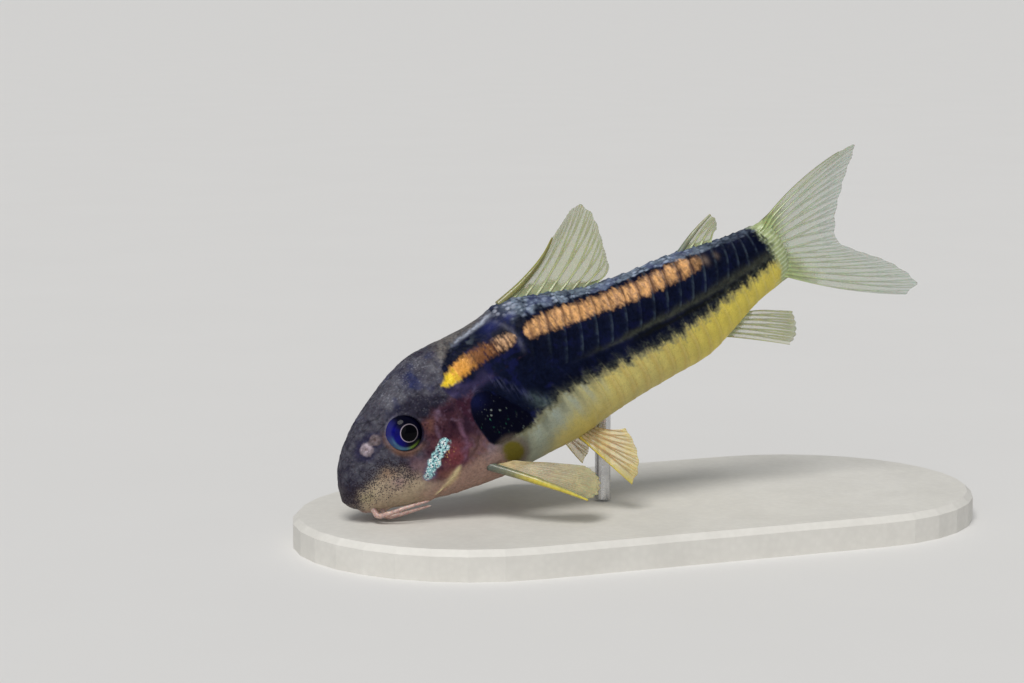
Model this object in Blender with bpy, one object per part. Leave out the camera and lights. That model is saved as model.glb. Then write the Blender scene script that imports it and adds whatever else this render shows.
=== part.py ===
"""Corydoras catfish feeding head down over a plain display stand, at life size.

The fish is laid out in its own frame first, in millimetres: x runs from the snout to the tail,
y to its right-hand side and z to its back. It is then pitched head down and set over the base.
Everything that ends up in the scene is in metres, +Z up, with the origin under the middle of the base.
"""

import math

import bmesh
import bpy
import numpy as np
from mathutils import Vector

MM = 0.001
GAP = 0.3
SHARP_ANGLE = math.radians(38)

# How the fish stands over its base.
BASE_LENGTH = 73.0
BASE_WIDTH = 36.0
BASE_THICKNESS = 3.0
BASE_BEVEL = 0.6
ROD_RADIUS = 0.8
ROD_AT = 27.8
PITCH = math.radians(28.0)
SNOUT_AT = (-31.9, 0.0, 4.9)

# The body, as sections across the fish at x: crest, widest level, belly, half width there,
# and how square the section is above and below the widest level, where 2 is an ellipse.
BODY = np.array([
    (-0.15, 0.50, 0.20, -0.10, 0.80, 2.0, 2.0),
    (0.10, 1.45, 0.15, -0.55, 1.25, 2.0, 2.0),
    (0.60, 2.50, 0.10, -1.05, 1.70, 2.0, 2.1),
    (1.30, 3.60, 0.10, -1.60, 2.15, 2.0, 2.2),
    (2.40, 4.78, 0.20, -2.20, 2.65, 2.0, 2.3),
    (4.40, 6.25, 0.40, -3.05, 3.20, 2.0, 2.3),
    (7.25, 7.60, 0.45, -4.10, 3.95, 2.1, 2.3),
    (10.2, 8.75, 0.10, -5.00, 4.70, 2.1, 2.3),
    (13.0, 9.30, -0.60, -5.60, 5.30, 2.0, 2.4),
    (16.5, 8.95, -1.30, -6.10, 5.75, 1.9, 2.5),
    (20.0, 8.85, -1.80, -6.30, 5.85, 1.8, 2.6),
    (23.5, 9.10, -2.00, -6.65, 5.60, 1.7, 2.7),
    (27.5, 7.70, -2.00, -6.55, 5.20, 1.8, 2.6),
    (31.5, 6.00, -1.90, -6.70, 4.70, 1.9, 2.4),
    (36.0, 4.80, -1.90, -7.05, 4.05, 2.0, 2.2),
    (41.0, 4.00, -1.80, -7.30, 3.20, 2.0, 2.1),
    (44.5, 3.25, -1.70, -6.45, 2.55, 2.0, 2.0),
    (48.0, 2.35, -1.60, -5.45, 2.00, 2.0, 2.0),
    (52.0, 1.75, -1.60, -5.05, 1.60, 2.0, 2.0),
])
NOSE_TIP = -0.15
NOSE_STEP = 0.02
NOSE_ROUND = 0.6
CHEEK_ROUND = 1.3

# The line down the flank where the two rows of scutes meet.
SEAM = np.array([
    (-0.2, 0.3), (8.0, 1.3), (16.0, 2.2), (25.0, 1.6), (30.0, 0.8), (35.0, 0.1), (42.0, -0.8), (52.0, -1.5),
])
SEAM_HALF = 0.16
RING_BELOW = 6
RING_ABOVE = 7
HEAD_RING_BELOW = 9
HEAD_RING_ABOVE = 9

# Where the gill cover ends and the armour begins, and how the plates lean from there to the tail.
HEAD_END = 15.2
TAIL_END = 52.0
SCUTES = 22
TRUNK_SCUTES = 13.4
FIRST_EDGE = 0.4
FIRST_SCUTE = 1.95
LAST_SCUTE = 1.40
LEAN_AT_HEAD = 0.33
LEAN_ABOVE = 0.50
LEAN_BELOW = -0.12
EDGE_BOW = 0.35
SCUTE_STEP = 0.07
SCUTE_RISE = 0.26
SHOULDER_SCUTES = 3.6
SHOULDER_TOP = 3.2
SHOULDER_RISE = 0.22
HEAD_RINGS = 25

# The eye is a spheroid that looks sideways, a little forwards and up.
EYE_AT = (7.88, 2.87, 3.90)
EYE_LOOK = (-0.07, 0.99, 0.09)
EYE_RADIUS = 1.90
EYE_DEPTH = 1.50
ORBIT_RIM = 0.22
ORBIT_OUT = 0.12
ORBIT_ANGLE = 27.5

GILL_SLIT = (
    (13.6, 4.8), (14.2, 3.0), (14.2, 0.8), (13.2, -0.6), (11.3, -1.5), (9.6, -2.5), (8.2, -3.4), (7.0, -4.8),
)
GILL_FRONT = ((11.6, 4.8), (11.2, 2.4), (9.9, 0.0), (8.0, -1.8), (6.2, -3.0))

# Each nostril is a rimmed pit: x, angle round the head in degrees, and radius.
NOSTRILS = ((4.12, 43.0, 0.62), (5.14, 44.5, 0.52))
NOSTRIL_RIM = 0.20
NOSTRIL_SQUASH = 1.4
PIT_INSET = 0.06
PIT_OUT = 0.25
PIT_DEPTH = 0.55

# The lips are two arcs under the snout with the mouth slit between them.
LIP = 0.36
LIP_THINNING = 0.35
LOWER_LIP_BACK = 0.95
MOUTH_AT = 1.75
MOUTH_HALF = 1.35
MOUTH_CURVE = 0.75
MOUTH_FRONT = 0.55
SLIT_BACK = 0.48
SLIT_SINK = -0.12
SLIT_RADIUS = 0.16

# The gill cover stands out by COVER_RISE and the grooves round it are GROOVE_DEPTH deep.
COVER_RISE = 0.24
GROOVE_DEPTH = 0.20
SLIT_WIDTH = 0.40
COVER_FRONT_WIDTH = 0.50

# Half thicknesses of the fins, and how far their roots stay off the body.
RAY_ROUND = 0.16
SPINE_INSET = 0.4
WEB_ROOT = 0.27
WEB_TIP = 0.17
FIN_OFF = GAP + 0.05
BELLY_FIN_OFF = GAP + 0.10
PAIRED_FIN_OFF = GAP + 0.15

# Fin roots, and outlines of their tips from the first ray to the last.
DORSAL_BASE = (23.9, 33.2)
DORSAL_TIPS = ((31.3, 12.0), (35.7, 13.3), (36.2, 12.0), (36.1, 10.2), (35.7, 8.3), (35.3, 6.4))
ADIPOSE_BASE = (43.0, 46.4)
ADIPOSE_TIPS = ((47.6, 5.3), (47.9, 4.6), (47.5, 3.6))
ANAL_BASE = (43.3, 46.8)
ANAL_TIPS = ((49.3, -11.4), (50.3, -11.0), (51.0, -9.8), (51.2, -8.4))
CAUDAL_ROOT = ((52.3, 1.45), (52.3, -4.65))
CAUDAL_TIPS = (
    (63.6, 3.6), (65.8, 3.2), (64.3, 1.9), (62.2, -0.2), (60.2, -2.6), (59.4, -4.6),
    (60.6, -6.4), (62.7, -8.6), (64.6, -11.2), (65.4, -13.4), (63.6, -13.7),
)
PECTORAL_ROOT = ((13.9, -3.4), (15.9, -4.0))
PECTORAL_TIPS = (
    (19.2, 10.5, -9.5), (20.5, 10.1, -9.7), (21.5, 9.2, -9.2), (21.8, 8.1, -8.5), (21.4, 7.2, -7.6),
)
PELVIC_ROOT = ((23.4, 3.3), (25.3, 3.1))
PELVIC_TIPS = (
    (25.2, 6.2, -12.4), (26.4, 6.2, -11.6), (27.3, 5.8, -10.2), (27.7, 5.2, -8.6), (27.7, 4.7, -7.5),
)

# The feelers: x, angle round the head in degrees, and distance off the skin, from root to tip.
BARBELS = {
    "barbel_upper": (
        (1.85, -52.0, 0.46), (2.15, -48.0, 0.86), (3.1, -42.0, 1.00), (4.9, -38.0, 1.10), (7.0, -40.0, 1.00),
    ),
    "barbel_lower": (
        (2.75, -68.0, 0.50), (3.00, -66.0, 0.80), (4.0, -63.0, 0.86), (5.4, -61.0, 0.80), (7.2, -60.0, 0.72),
    ),
}
BARBEL_ROOT = 0.30
BARBEL_TIP = 0.17

COLOURS = {
    "skin": (0.035, 0.038, 0.055, 0.42, 0.0),
    "eye": (0.01, 0.01, 0.06, 0.08, 0.0),
    "fin": (0.62, 0.62, 0.36, 0.35, 0.0),
    "yellow_fin": (0.80, 0.68, 0.22, 0.35, 0.0),
    "barbel": (0.55, 0.42, 0.38, 0.45, 0.0),
    "base": (0.78, 0.75, 0.71, 0.6, 0.0),
    "rod": (0.60, 0.60, 0.62, 0.28, 1.0),
}


def clear_scene():
    for item in list(bpy.data.objects):
        bpy.data.objects.remove(item)


def material(slot):
    found = bpy.data.materials.get(slot)
    if found:
        return found
    red, green, blue, roughness, metallic = COLOURS[slot]
    made = bpy.data.materials.new(slot)
    made.use_nodes = True
    shader = made.node_tree.nodes["Principled BSDF"]
    shader.inputs["Base Color"].default_value = (red, green, blue, 1.0)
    shader.inputs["Roughness"].default_value = roughness
    shader.inputs["Metallic"].default_value = metallic
    return made


def smooth(edge0, edge1, value):
    share = np.clip((value - edge0) / (edge1 - edge0), 0.0, 1.0)
    return share * share * (3.0 - 2.0 * share)


def curve_through(xs, ys, at):
    """A smooth curve through the points, read at the places asked for (a cubic with averaged slopes)."""
    xs, ys, at = np.asarray(xs, float), np.asarray(ys, float), np.asarray(at, float)
    step = np.diff(xs)
    chord = np.diff(ys) / step
    slope = np.empty_like(ys)
    slope[0], slope[-1] = chord[0], chord[-1]
    slope[1:-1] = (chord[:-1] * step[1:] + chord[1:] * step[:-1]) / (step[1:] + step[:-1])
    k = np.clip(np.searchsorted(xs, at) - 1, 0, len(step) - 1)
    t = np.clip((at - xs[k]) / step[k], 0.0, 1.0)
    return (
        ys[k] * (1 + 2 * t) * (1 - t) ** 2
        + slope[k] * step[k] * t * (1 - t) ** 2
        + ys[k + 1] * t * t * (3 - 2 * t)
        + slope[k + 1] * step[k] * t * t * (t - 1)
    )


def body_at(x):
    """Crest, widest level, belly, half width and the two squarenesses of the body at x."""
    x = np.clip(x, NOSE_TIP, TAIL_END)
    crest, wide, belly, half, above, below = (
        curve_through(BODY[:, 0], BODY[:, column], x) for column in range(1, 7)
    )
    nose = np.clip((x - NOSE_TIP) / NOSE_ROUND, 0.0, 1.0)
    cheek = np.clip((x - NOSE_TIP) / CHEEK_ROUND, 0.0, 1.0)
    nose = np.sqrt(1.0 - (1.0 - nose) ** 2)
    cheek = np.sqrt(1.0 - (1.0 - cheek) ** 2)
    return wide + (crest - wide) * nose, wide, wide + (belly - wide) * nose, half * cheek, above, below


def section_point(x, angle):
    """(y, z) of the plain body at x. The angle is in radians: -90 degrees at the belly, 90 at the crest."""
    crest, wide, belly, half, above, below = body_at(x)
    rise, run = np.abs(np.sin(angle)), np.abs(np.cos(angle))
    up = angle > 0
    power = 2.0 / np.where(up, above, below)
    y = half * run ** power
    z = wide + np.where(up, (crest - wide) * rise ** power, (belly - wide) * rise ** power)
    return y, z


def seam_angle(x, offset=0.0):
    """The angle at which the section at x reaches the seam between the scute rows."""
    crest, wide, belly, half, above, below = body_at(x)
    level = curve_through(SEAM[:, 0], SEAM[:, 1], x) + offset
    up = level > wide
    share = np.where(up, (level - wide) / (crest - wide), (wide - level) / (wide - belly))
    share = np.clip(share, 0.0, 0.98)
    angle = np.arcsin(share ** (np.where(up, above, below) / 2.0))
    return np.where(up, angle, -angle)


def ring_angles(x, steps):
    """Angles of one side of a ring, belly to crest, with a narrow strip of three on the seam."""
    low, mid, high = (seam_angle(x, offset) for offset in (-SEAM_HALF, 0.0, SEAM_HALF))
    below = np.linspace(-math.pi / 2, low, steps[0] + 1)
    above = np.linspace(high, math.pi / 2, steps[1] + 1)
    return np.concatenate([below, [mid], above])


def scute_place(q):
    """x at the seam of the scute boundary q, counted from the gill cover."""
    share = q / SCUTES
    travelled = q * (FIRST_SCUTE + (LAST_SCUTE - FIRST_SCUTE) * share / 2.0)
    whole = SCUTES * (FIRST_SCUTE + LAST_SCUTE) / 2.0
    return HEAD_END + travelled * (TAIL_END - HEAD_END) / whole


def leans(x):
    """How far a plate's edge moves to the tail for each millimetre up, above and below the seam.

    The third number is how far the plates are past the shoulder, from 0 to 1.
    """
    head = smooth(2.0, HEAD_END, x)
    tail = smooth(44.0, TAIL_END, x)
    armour = smooth(HEAD_END, HEAD_END + 9.0, x)
    above = (LEAN_AT_HEAD * head + (LEAN_ABOVE - LEAN_AT_HEAD) * armour) * (1.0 - tail)
    below = (LEAN_AT_HEAD * head + (LEAN_BELOW - LEAN_AT_HEAD) * armour) * (1.0 - tail)
    return above, below, armour * (1.0 - tail)


def ring(x_seam, height, steps):
    """One closed ring of the body that crosses the seam at x_seam. height(x, z, angles) raises it."""
    angles = ring_angles(np.float64(x_seam), steps)
    level = curve_through(SEAM[:, 0], SEAM[:, 1], x_seam)
    above, below, armour = leans(x_seam)
    crest, belly = (float(body_at(np.float64(x_seam))[k]) for k in (0, 2))
    x = np.full(len(angles), float(x_seam))
    for _ in range(6):
        y, z = section_point(x, angles)
        reach = np.where(z > level, (z - level) / (crest - level), (level - z) / (level - belly))
        bow = EDGE_BOW * armour * 4.0 * reach * (1.0 - reach)
        x = x_seam + np.where(z > level, above, below) * (z - level) + bow
        x = np.maximum(x, NOSE_TIP + NOSE_STEP)
    y[0] = y[-1] = 0.0
    tangent_y, tangent_z = np.gradient(y), np.gradient(z)
    tangent_y[0], tangent_z[0] = 1.0, 0.0
    tangent_y[-1], tangent_z[-1] = -1.0, 0.0
    length = np.hypot(tangent_y, tangent_z)
    lift = height(x, z, angles)
    y = y + lift * tangent_z / length
    z = z - lift * tangent_y / length
    y[0] = y[-1] = 0.0
    side = np.stack([x, y, z], axis=1)
    other = side[-2:0:-1] * np.array([1.0, -1.0, 1.0])
    return np.concatenate([side, other])


def scute_height(q):
    """A height function for a ring at boundary q: each plate rises to its rear edge and steps down there."""

    def height(x, z, angles):
        level = curve_through(SEAM[:, 0], SEAM[:, 1], x)
        away = np.abs(z - level)
        rows = smooth(0.0, 0.5, away)
        phase_above = (q - FIRST_EDGE - SCUTE_STEP) % 1.0
        phase_below = (q - FIRST_EDGE - 0.5 - SCUTE_STEP) % 1.0
        rise_above = np.clip(phase_above / (1.0 - SCUTE_STEP), 0.0, 1.0)
        rise_below = np.clip(phase_below / (1.0 - SCUTE_STEP), 0.0, 1.0)
        step = np.where(z > level, rise_above, rise_below) * SCUTE_RISE
        shoulder = shoulder_share(q, z)
        belly = smooth(math.radians(-88), math.radians(-62), angles)
        return np.where(shoulder > 0.5, SHOULDER_RISE, step * rows) * belly

    return height


def shoulder_share(q, z):
    """1 on the large smooth plate behind the gill opening, 0 on the scutes."""
    reach = SHOULDER_SCUTES - 0.05 * (z + 1.5) ** 2
    return np.where((q < reach) & (z < SHOULDER_TOP), 1.0, 0.0)


def behind_route(x, z, route):
    """Distance from a route down the side of the head. Below 0 in front of it, above 0 behind it."""
    route = np.asarray(route, float)
    best = np.full(np.shape(x), 1e9)
    signed = np.zeros(np.shape(x))
    for (x0, z0), (x1, z1) in zip(route[:-1], route[1:]):
        along_x, along_z = x1 - x0, z1 - z0
        share = np.clip(((x - x0) * along_x + (z - z0) * along_z) / (along_x ** 2 + along_z ** 2), 0.0, 1.0)
        off_x, off_z = x - x0 - share * along_x, z - z0 - share * along_z
        far = np.hypot(off_x, off_z)
        side = np.where(along_x * off_z - along_z * off_x > 0, 1.0, -1.0)
        signed = np.where(far < best, far * side, signed)
        best = np.minimum(best, far)
    return signed


def head_height(x, z, angles):
    """The gill cover stands proud of the cheek and of the shoulder, with the gill slit behind it."""
    slit = behind_route(x, z, GILL_SLIT)
    front = behind_route(x, z, GILL_FRONT)
    top = smooth(5.2, 4.0, z)
    cover = smooth(-0.3, 0.7, front) * smooth(0.10, -0.35, slit)
    grooves = np.exp(-((slit - 0.15) / SLIT_WIDTH) ** 2) + 0.4 * np.exp(-(front / COVER_FRONT_WIDTH) ** 2)
    fade = smooth(math.radians(-84), math.radians(-66), angles)
    return (COVER_RISE * cover - GROOVE_DEPTH * grooves) * top * fade


def to_world(points):
    """From the fish's own millimetres to the scene's metres."""
    points = np.asarray(points, float)
    x = points[..., 0] * math.cos(PITCH) - points[..., 2] * math.sin(PITCH)
    z = points[..., 0] * math.sin(PITCH) + points[..., 2] * math.cos(PITCH)
    return (np.stack([x, points[..., 1], z], axis=-1) + np.array(SNOUT_AT)) * MM


def new_object(name, points, faces, slot, rounded=True):
    """A mesh object from points in metres, with its faces turned outwards."""
    mesh = bpy.data.meshes.new(name)
    mesh.from_pydata([tuple(p) for p in points], [], [tuple(int(i) for i in f) for f in faces])
    work = bmesh.new()
    work.from_mesh(mesh)
    bmesh.ops.recalc_face_normals(work, faces=work.faces)
    if work.calc_volume(signed=True) < 0:
        bmesh.ops.reverse_faces(work, faces=work.faces)
    work.to_mesh(mesh)
    work.free()
    mesh.materials.append(material(slot))
    if rounded:
        mesh.shade_smooth()
        mesh.set_sharp_from_angle(angle=SHARP_ANGLE)
    item = bpy.data.objects.new(name, mesh)
    bpy.context.scene.collection.objects.link(item)
    return item


def tube_faces(rings, count, first, closed_front, closed_rear):
    """Triangles of a run of equal rings, with each end closed by a point that follows the rings."""
    faces = []
    for r in range(rings - 1):
        for k in range(count):
            a = first + r * count + k
            b = first + r * count + (k + 1) % count
            faces.append((a, b, b + count))
            faces.append((a, b + count, a + count))
    for k in range(count):
        after = (k + 1) % count
        faces.append((closed_front, first + after, first + k))
        last = first + (rings - 1) * count
        faces.append((closed_rear, last + k, last + after))
    return faces


def body_piece(name, places, heights, steps=(RING_BELOW, RING_ABOVE), front_point=None):
    """A length of the body through the given seam places. Its flat ends are closed on the seam."""
    rings = [ring(x, height, steps) for x, height in zip(places, heights)]
    count = len(rings[0])

    def end_point(x):
        return (x, 0.0, float(curve_through(SEAM[:, 0], SEAM[:, 1], x)))

    points = np.concatenate(rings + [[front_point or end_point(places[0]), end_point(places[-1])]])
    total = len(rings) * count
    faces = tube_faces(len(rings), count, 0, total, total + 1)
    return new_object(name, to_world(points), faces, "skin")


def scute_lines(first, last):
    """The ends of a run of scutes, and between them the two sides of each plate's step, in both rows."""
    lines = [first, last]
    for half in range(2 * SCUTES):
        edge = FIRST_EDGE + half / 2.0
        lines += [q for q in (edge, edge + SCUTE_STEP) if first + SCUTE_STEP / 2 < q < last - SCUTE_STEP / 2]
    return sorted(lines)


def make_trunk():
    lines = scute_lines(0, TRUNK_SCUTES)
    places = [float(scute_place(q)) for q in lines]
    return body_piece("trunk", places, [scute_height(q) for q in lines])


def make_tail_stem():
    lines = scute_lines(TRUNK_SCUTES + GAP / LAST_SCUTE, SCUTES)
    places = [float(scute_place(q)) for q in lines]
    places[0] = float(scute_place(TRUNK_SCUTES)) + GAP
    return body_piece("tail_stem", places, [scute_height(q) for q in lines])


def side_point(x, angle, side, out=0.0):
    """A point of the plain body at an angle, pushed out along its normal. side is -1 left, 1 right."""
    small = 1e-3
    here = np.array([x, *section_point(np.float64(x), np.float64(angle))], float)
    along = np.array([x + small, *section_point(np.float64(x + small), np.float64(angle))]) - here
    up = np.array([x, *section_point(np.float64(x), np.float64(angle + small))]) - here
    normal = np.cross(along, up)
    normal /= np.linalg.norm(normal)
    if normal[1] < 0:
        normal = -normal
    point = here + normal * out
    flip = np.array([1.0, side, 1.0])
    return point * flip, normal * flip


def basis_from(normal):
    """Two directions square to a normal, and the normal."""
    normal = Vector(normal).normalized()
    across = normal.orthogonal().normalized()
    return np.array(across), np.array(normal.cross(across)), np.array(normal)


def torus(name, centre, normal, major, minor, slot="skin", around=20, tube=6, squash=1.0):
    across, other, out = basis_from(normal)
    points, faces = [], []
    for i in range(around):
        a = 2 * math.pi * i / around
        for j in range(tube):
            b = 2 * math.pi * j / tube
            reach = major + minor * math.cos(b)
            points.append(
                np.array(centre)
                + (across * math.cos(a) + other * math.sin(a)) * reach
                + out * minor * math.sin(b) * squash
            )
    for i in range(around):
        for j in range(tube):
            a, b = i * tube + j, i * tube + (j + 1) % tube
            c, d = ((i + 1) % around) * tube + (j + 1) % tube, ((i + 1) % around) * tube + j
            faces.append((a, b, c))
            faces.append((a, c, d))
    return new_object(name, to_world(points), faces, slot)


def spheroid(name, centre, normal, radius, depth, slot, segments=24, rings=12):
    """A ball flattened along its normal."""
    across, other, out = basis_from(normal)
    points = []
    for r in range(1, rings):
        a = math.pi * r / rings
        for s in range(segments):
            b = 2 * math.pi * s / segments
            flat = across * math.cos(b) + other * math.sin(b)
            points.append(np.array(centre) + flat * radius * math.sin(a) + out * depth * math.cos(a))
    total = len(points)
    points += [np.array(centre) + out * depth, np.array(centre) - out * depth]
    faces = tube_faces(rings - 1, segments, 0, total, total + 1)
    return new_object(name, to_world(points), faces, slot)


def tube_along(name, path, radii, slot, sides=8):
    """A closed tube through a path, with its own radius at each point, in the fish's frame."""
    path = np.asarray(path, float)
    tangents = np.gradient(path, axis=0)
    points = []
    for at, tangent, radius in zip(path, tangents, radii):
        across, other, _ = basis_from(tangent)
        turn = math.atan2(across[2], other[2])
        for s in range(sides):
            a = 2 * math.pi * s / sides - turn
            points.append(at + (across * math.cos(a) + other * math.sin(a)) * radius)
    total = len(points)
    points += [path[0], path[-1]]
    faces = tube_faces(len(path), sides, 0, total, total + 1)
    return new_object(name, to_world(points), faces, slot)


def bent_path(points, count):
    """Points along a smooth curve through a few points."""
    points = np.asarray(points, float)
    steps = np.concatenate([[0.0], np.cumsum(np.linalg.norm(np.diff(points, axis=0), axis=1))])
    at = np.linspace(0.0, steps[-1], count)
    return np.stack([curve_through(steps, points[:, k], at) for k in range(3)], axis=1)


def keep_largest(item):
    """Leaves only the largest closed surface of an object's mesh."""
    work = bmesh.new()
    work.from_mesh(item.data)
    left = set(work.faces)
    groups = []
    while left:
        stack, group = [left.pop()], []
        while stack:
            face = stack.pop()
            group.append(face)
            for edge in face.edges:
                for near in edge.link_faces:
                    if near in left:
                        left.remove(near)
                        stack.append(near)
        groups.append(group)
    groups.sort(key=len)
    for group in groups[:-1]:
        bmesh.ops.delete(work, geom=group, context="FACES")
    work.to_mesh(item.data)
    work.free()


def join_and_cut(item, added, cutters):
    """Fuses the added pieces into the item, then cuts the cutters out of it."""
    for operation, others in (("UNION", added), ("DIFFERENCE", cutters)):
        if not others:
            continue
        group = bpy.data.collections.new("pieces")
        bpy.context.scene.collection.children.link(group)
        for other in others:
            bpy.context.scene.collection.objects.unlink(other)
            group.objects.link(other)
        modifier = item.modifiers.new("join", "BOOLEAN")
        modifier.operation = operation
        modifier.operand_type = "COLLECTION"
        modifier.collection = group
        modifier.solver = "EXACT"
        graph = bpy.context.evaluated_depsgraph_get()
        made = bpy.data.meshes.new_from_object(item.evaluated_get(graph))
        item.modifiers.clear()
        item.data = made
        for other in others:
            bpy.data.objects.remove(other)
        bpy.data.collections.remove(group)
    keep_largest(item)
    item.data.shade_smooth()
    item.data.set_sharp_from_angle(angle=SHARP_ANGLE)


def eye_frame(side):
    centre = np.array(EYE_AT) * np.array([1.0, side, 1.0])
    look = np.array(EYE_LOOK) * np.array([1.0, side, 1.0])
    return centre, look / np.linalg.norm(look)


def make_head():
    end = HEAD_END - GAP
    share = np.linspace(0.0, 1.0, HEAD_RINGS + 1)[1:]
    places = NOSE_TIP + NOSE_STEP + (end - NOSE_TIP) * (0.18 * share + 0.82 * share ** 1.35)
    places = places - (places[-1] - end)
    steps = (HEAD_RING_BELOW, HEAD_RING_ABOVE)
    head = body_piece("head", list(places), [head_height] * len(places), steps, (NOSE_TIP, 0.0, 0.15))
    added, cutters = [], []
    for side in (-1, 1):
        centre, look = eye_frame(side)
        rim, square = side_point(EYE_AT[0], math.radians(ORBIT_ANGLE), side)
        added.append(torus("rim", rim, square, EYE_RADIUS + ORBIT_OUT, ORBIT_RIM, around=24))
        cutters.append(spheroid("socket", centre, look, EYE_RADIUS + GAP, EYE_DEPTH + GAP, "skin"))
        for x, degrees, radius in NOSTRILS:
            at, normal = side_point(x, math.radians(degrees), side)
            ring_at = radius - NOSTRIL_RIM
            added.append(torus("nostril", at, normal, ring_at, NOSTRIL_RIM, around=12, squash=NOSTRIL_SQUASH))
            pit_at = at + normal * PIT_OUT
            cutters.append(spheroid("pit", pit_at, normal, ring_at - PIT_INSET, PIT_DEPTH, "skin", 10, 6))
    added += [lip_tube("upper_lip", 0.0), lip_tube("lower_lip", LOWER_LIP_BACK)]
    cutters.append(mouth_slit())
    join_and_cut(head, added, cutters)
    return head


def lip_path(back, count, sink=0.0):
    """The arc of a lip under the snout, from corner to corner. back moves it towards the throat."""
    path = []
    for share in np.linspace(-1.0, 1.0, count):
        x = MOUTH_AT - MOUTH_FRONT + back + MOUTH_CURVE * share * share
        y = MOUTH_HALF * share
        angle = -math.pi / 2 + 0.05
        _, belly = section_point(np.float64(x), np.float64(angle))
        half = float(body_at(np.float64(x))[3])
        z = float(belly) + 0.30 * (y / max(half, 1.0)) ** 2 - 0.05 + sink
        path.append((x, y, z))
    return path


def lip_tube(name, back):
    path = lip_path(back, 11)
    radii = [LIP * (1.0 - LIP_THINNING * share * share) for share in np.linspace(-1, 1, 11)]
    return tube_along(name, path, radii, "skin", sides=8)


def mouth_slit():
    path = lip_path(SLIT_BACK, 9, sink=SLIT_SINK)
    return tube_along("slit", path, [SLIT_RADIUS] * len(path), "skin", sides=6)


def make_eye(name, side):
    centre, look = eye_frame(side)
    return spheroid(name, centre, look, EYE_RADIUS, EYE_DEPTH, "eye", 20, 10)


def web(name, slot, rays, thickness, spine=None, web_cut=0.015):
    """A fin: a thin closed sheet through its rays, each ray a rounded ridge in the sheet's own surface.

    rays is (number of rays, points along a ray, 3), in the fish's frame. thickness is the half
    thickness of the web at its root and at its tip. spine is the radius of a stout round first
    ray at its root and at its tip, fused to the front of the web.
    """
    rays = np.asarray(rays, float)
    many, along = rays.shape[0], rays.shape[1]
    spots = []
    for i in range(many - 1):
        spots += [(i, 0.0, 1.0), (i, 0.32, 0.0), (i, 0.68, 0.0)]
    spots.append((many - 1, 0.0, 1.0))
    share = np.linspace(0.0, 1.0, along)
    sheet, half = [], []
    for i, between, ridge in spots:
        line = rays[i] if between == 0.0 else rays[i] * (1 - between) + rays[i + 1] * between
        if between:
            cut = share * (1 - web_cut)
            line = np.stack([curve_through(share, line[:, k], cut) for k in range(3)], axis=1)
        sheet.append(line)
        thick = thickness[0] + (thickness[1] - thickness[0]) * share
        thick = thick + ridge * RAY_ROUND * (1.0 - 0.8 * share)
        half.append(thick)
    sheet, half = np.array(sheet), np.array(half)
    over, down = np.gradient(sheet, axis=0), np.gradient(sheet, axis=1)
    normal = np.cross(over, down)
    normal /= np.linalg.norm(normal, axis=2, keepdims=True)
    front = sheet + normal * half[..., None]
    back = sheet - normal * half[..., None]
    columns = len(spots)
    total = columns * along
    points = np.concatenate([front.reshape(-1, 3), back.reshape(-1, 3)])
    faces = []
    for i in range(columns - 1):
        for j in range(along - 1):
            a, b, c, d = i * along + j, (i + 1) * along + j, (i + 1) * along + j + 1, i * along + j + 1
            faces += [(a, b, c), (a, c, d)]
            faces += [(total + a, total + c, total + b), (total + a, total + d, total + c)]
    rim = [i * along for i in range(columns)]
    rim += [(columns - 1) * along + j for j in range(1, along)]
    rim += [i * along + along - 1 for i in range(columns - 2, -1, -1)]
    rim += [j for j in range(along - 2, 0, -1)]
    for here, after in zip(rim, rim[1:] + rim[:1]):
        faces += [(here, total + here, total + after), (here, total + after, after)]
    fin = new_object(name, to_world(points), faces, slot)
    if spine:
        radii = np.linspace(spine[0], spine[1], along)
        route = rays[0] + (rays[1] - rays[0]) * np.linspace(SPINE_INSET, 0.0, along)[:, None]
        join_and_cut(fin, [tube_along("spine", route, radii, slot, sides=8)], [])
    return fin


def ray(base, tip, along, bow=(0.0, 0.0, 0.0)):
    """A ray from base to tip that bows by the given amount halfway."""
    base, tip, bow = (np.asarray(v, float) for v in (base, tip, bow))
    share = np.linspace(0.0, 1.0, along)[:, None]
    return base + (tip - base) * share + bow * 4.0 * share * (1.0 - share)


def crest_top(x, rise=SCUTE_RISE):
    """Height of the back at x, over its scutes."""
    return float(body_at(np.float64(x))[0]) + rise


def belly_low(x):
    return float(body_at(np.float64(x))[2])


def spread(points, count):
    """Points evenly along a polyline of outline points, smoothed."""
    return bent_path([(p[0], 0.0, p[1]) for p in points], count)


def make_dorsal():
    rays = []
    many, along = 9, 7
    tips = spread(DORSAL_TIPS, many)
    for i, x in enumerate(np.linspace(*DORSAL_BASE, many)):
        share = i / (many - 1)
        base = (x, 0.0, crest_top(x) + FIN_OFF)
        bow = (0.55 - 0.4 * share, 0.25 * math.sin(5.0 * share), -0.35 * (1 - share))
        rays.append(ray(base, tips[i], along, bow))
    return web("dorsal_fin", "fin", rays, (WEB_ROOT, WEB_TIP), spine=(0.46, 0.24))


def make_adipose():
    rays = []
    many, along = 4, 5
    tips = spread(ADIPOSE_TIPS, many)
    for i, x in enumerate(np.linspace(*ADIPOSE_BASE, many)):
        base = (x, 0.0, crest_top(x) + FIN_OFF)
        rays.append(ray(base, tips[i], along, (0.0, 0.0, 0.15)))
    return web("adipose_fin", "fin", rays, (WEB_ROOT, WEB_TIP), spine=(0.36, 0.22))


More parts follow.
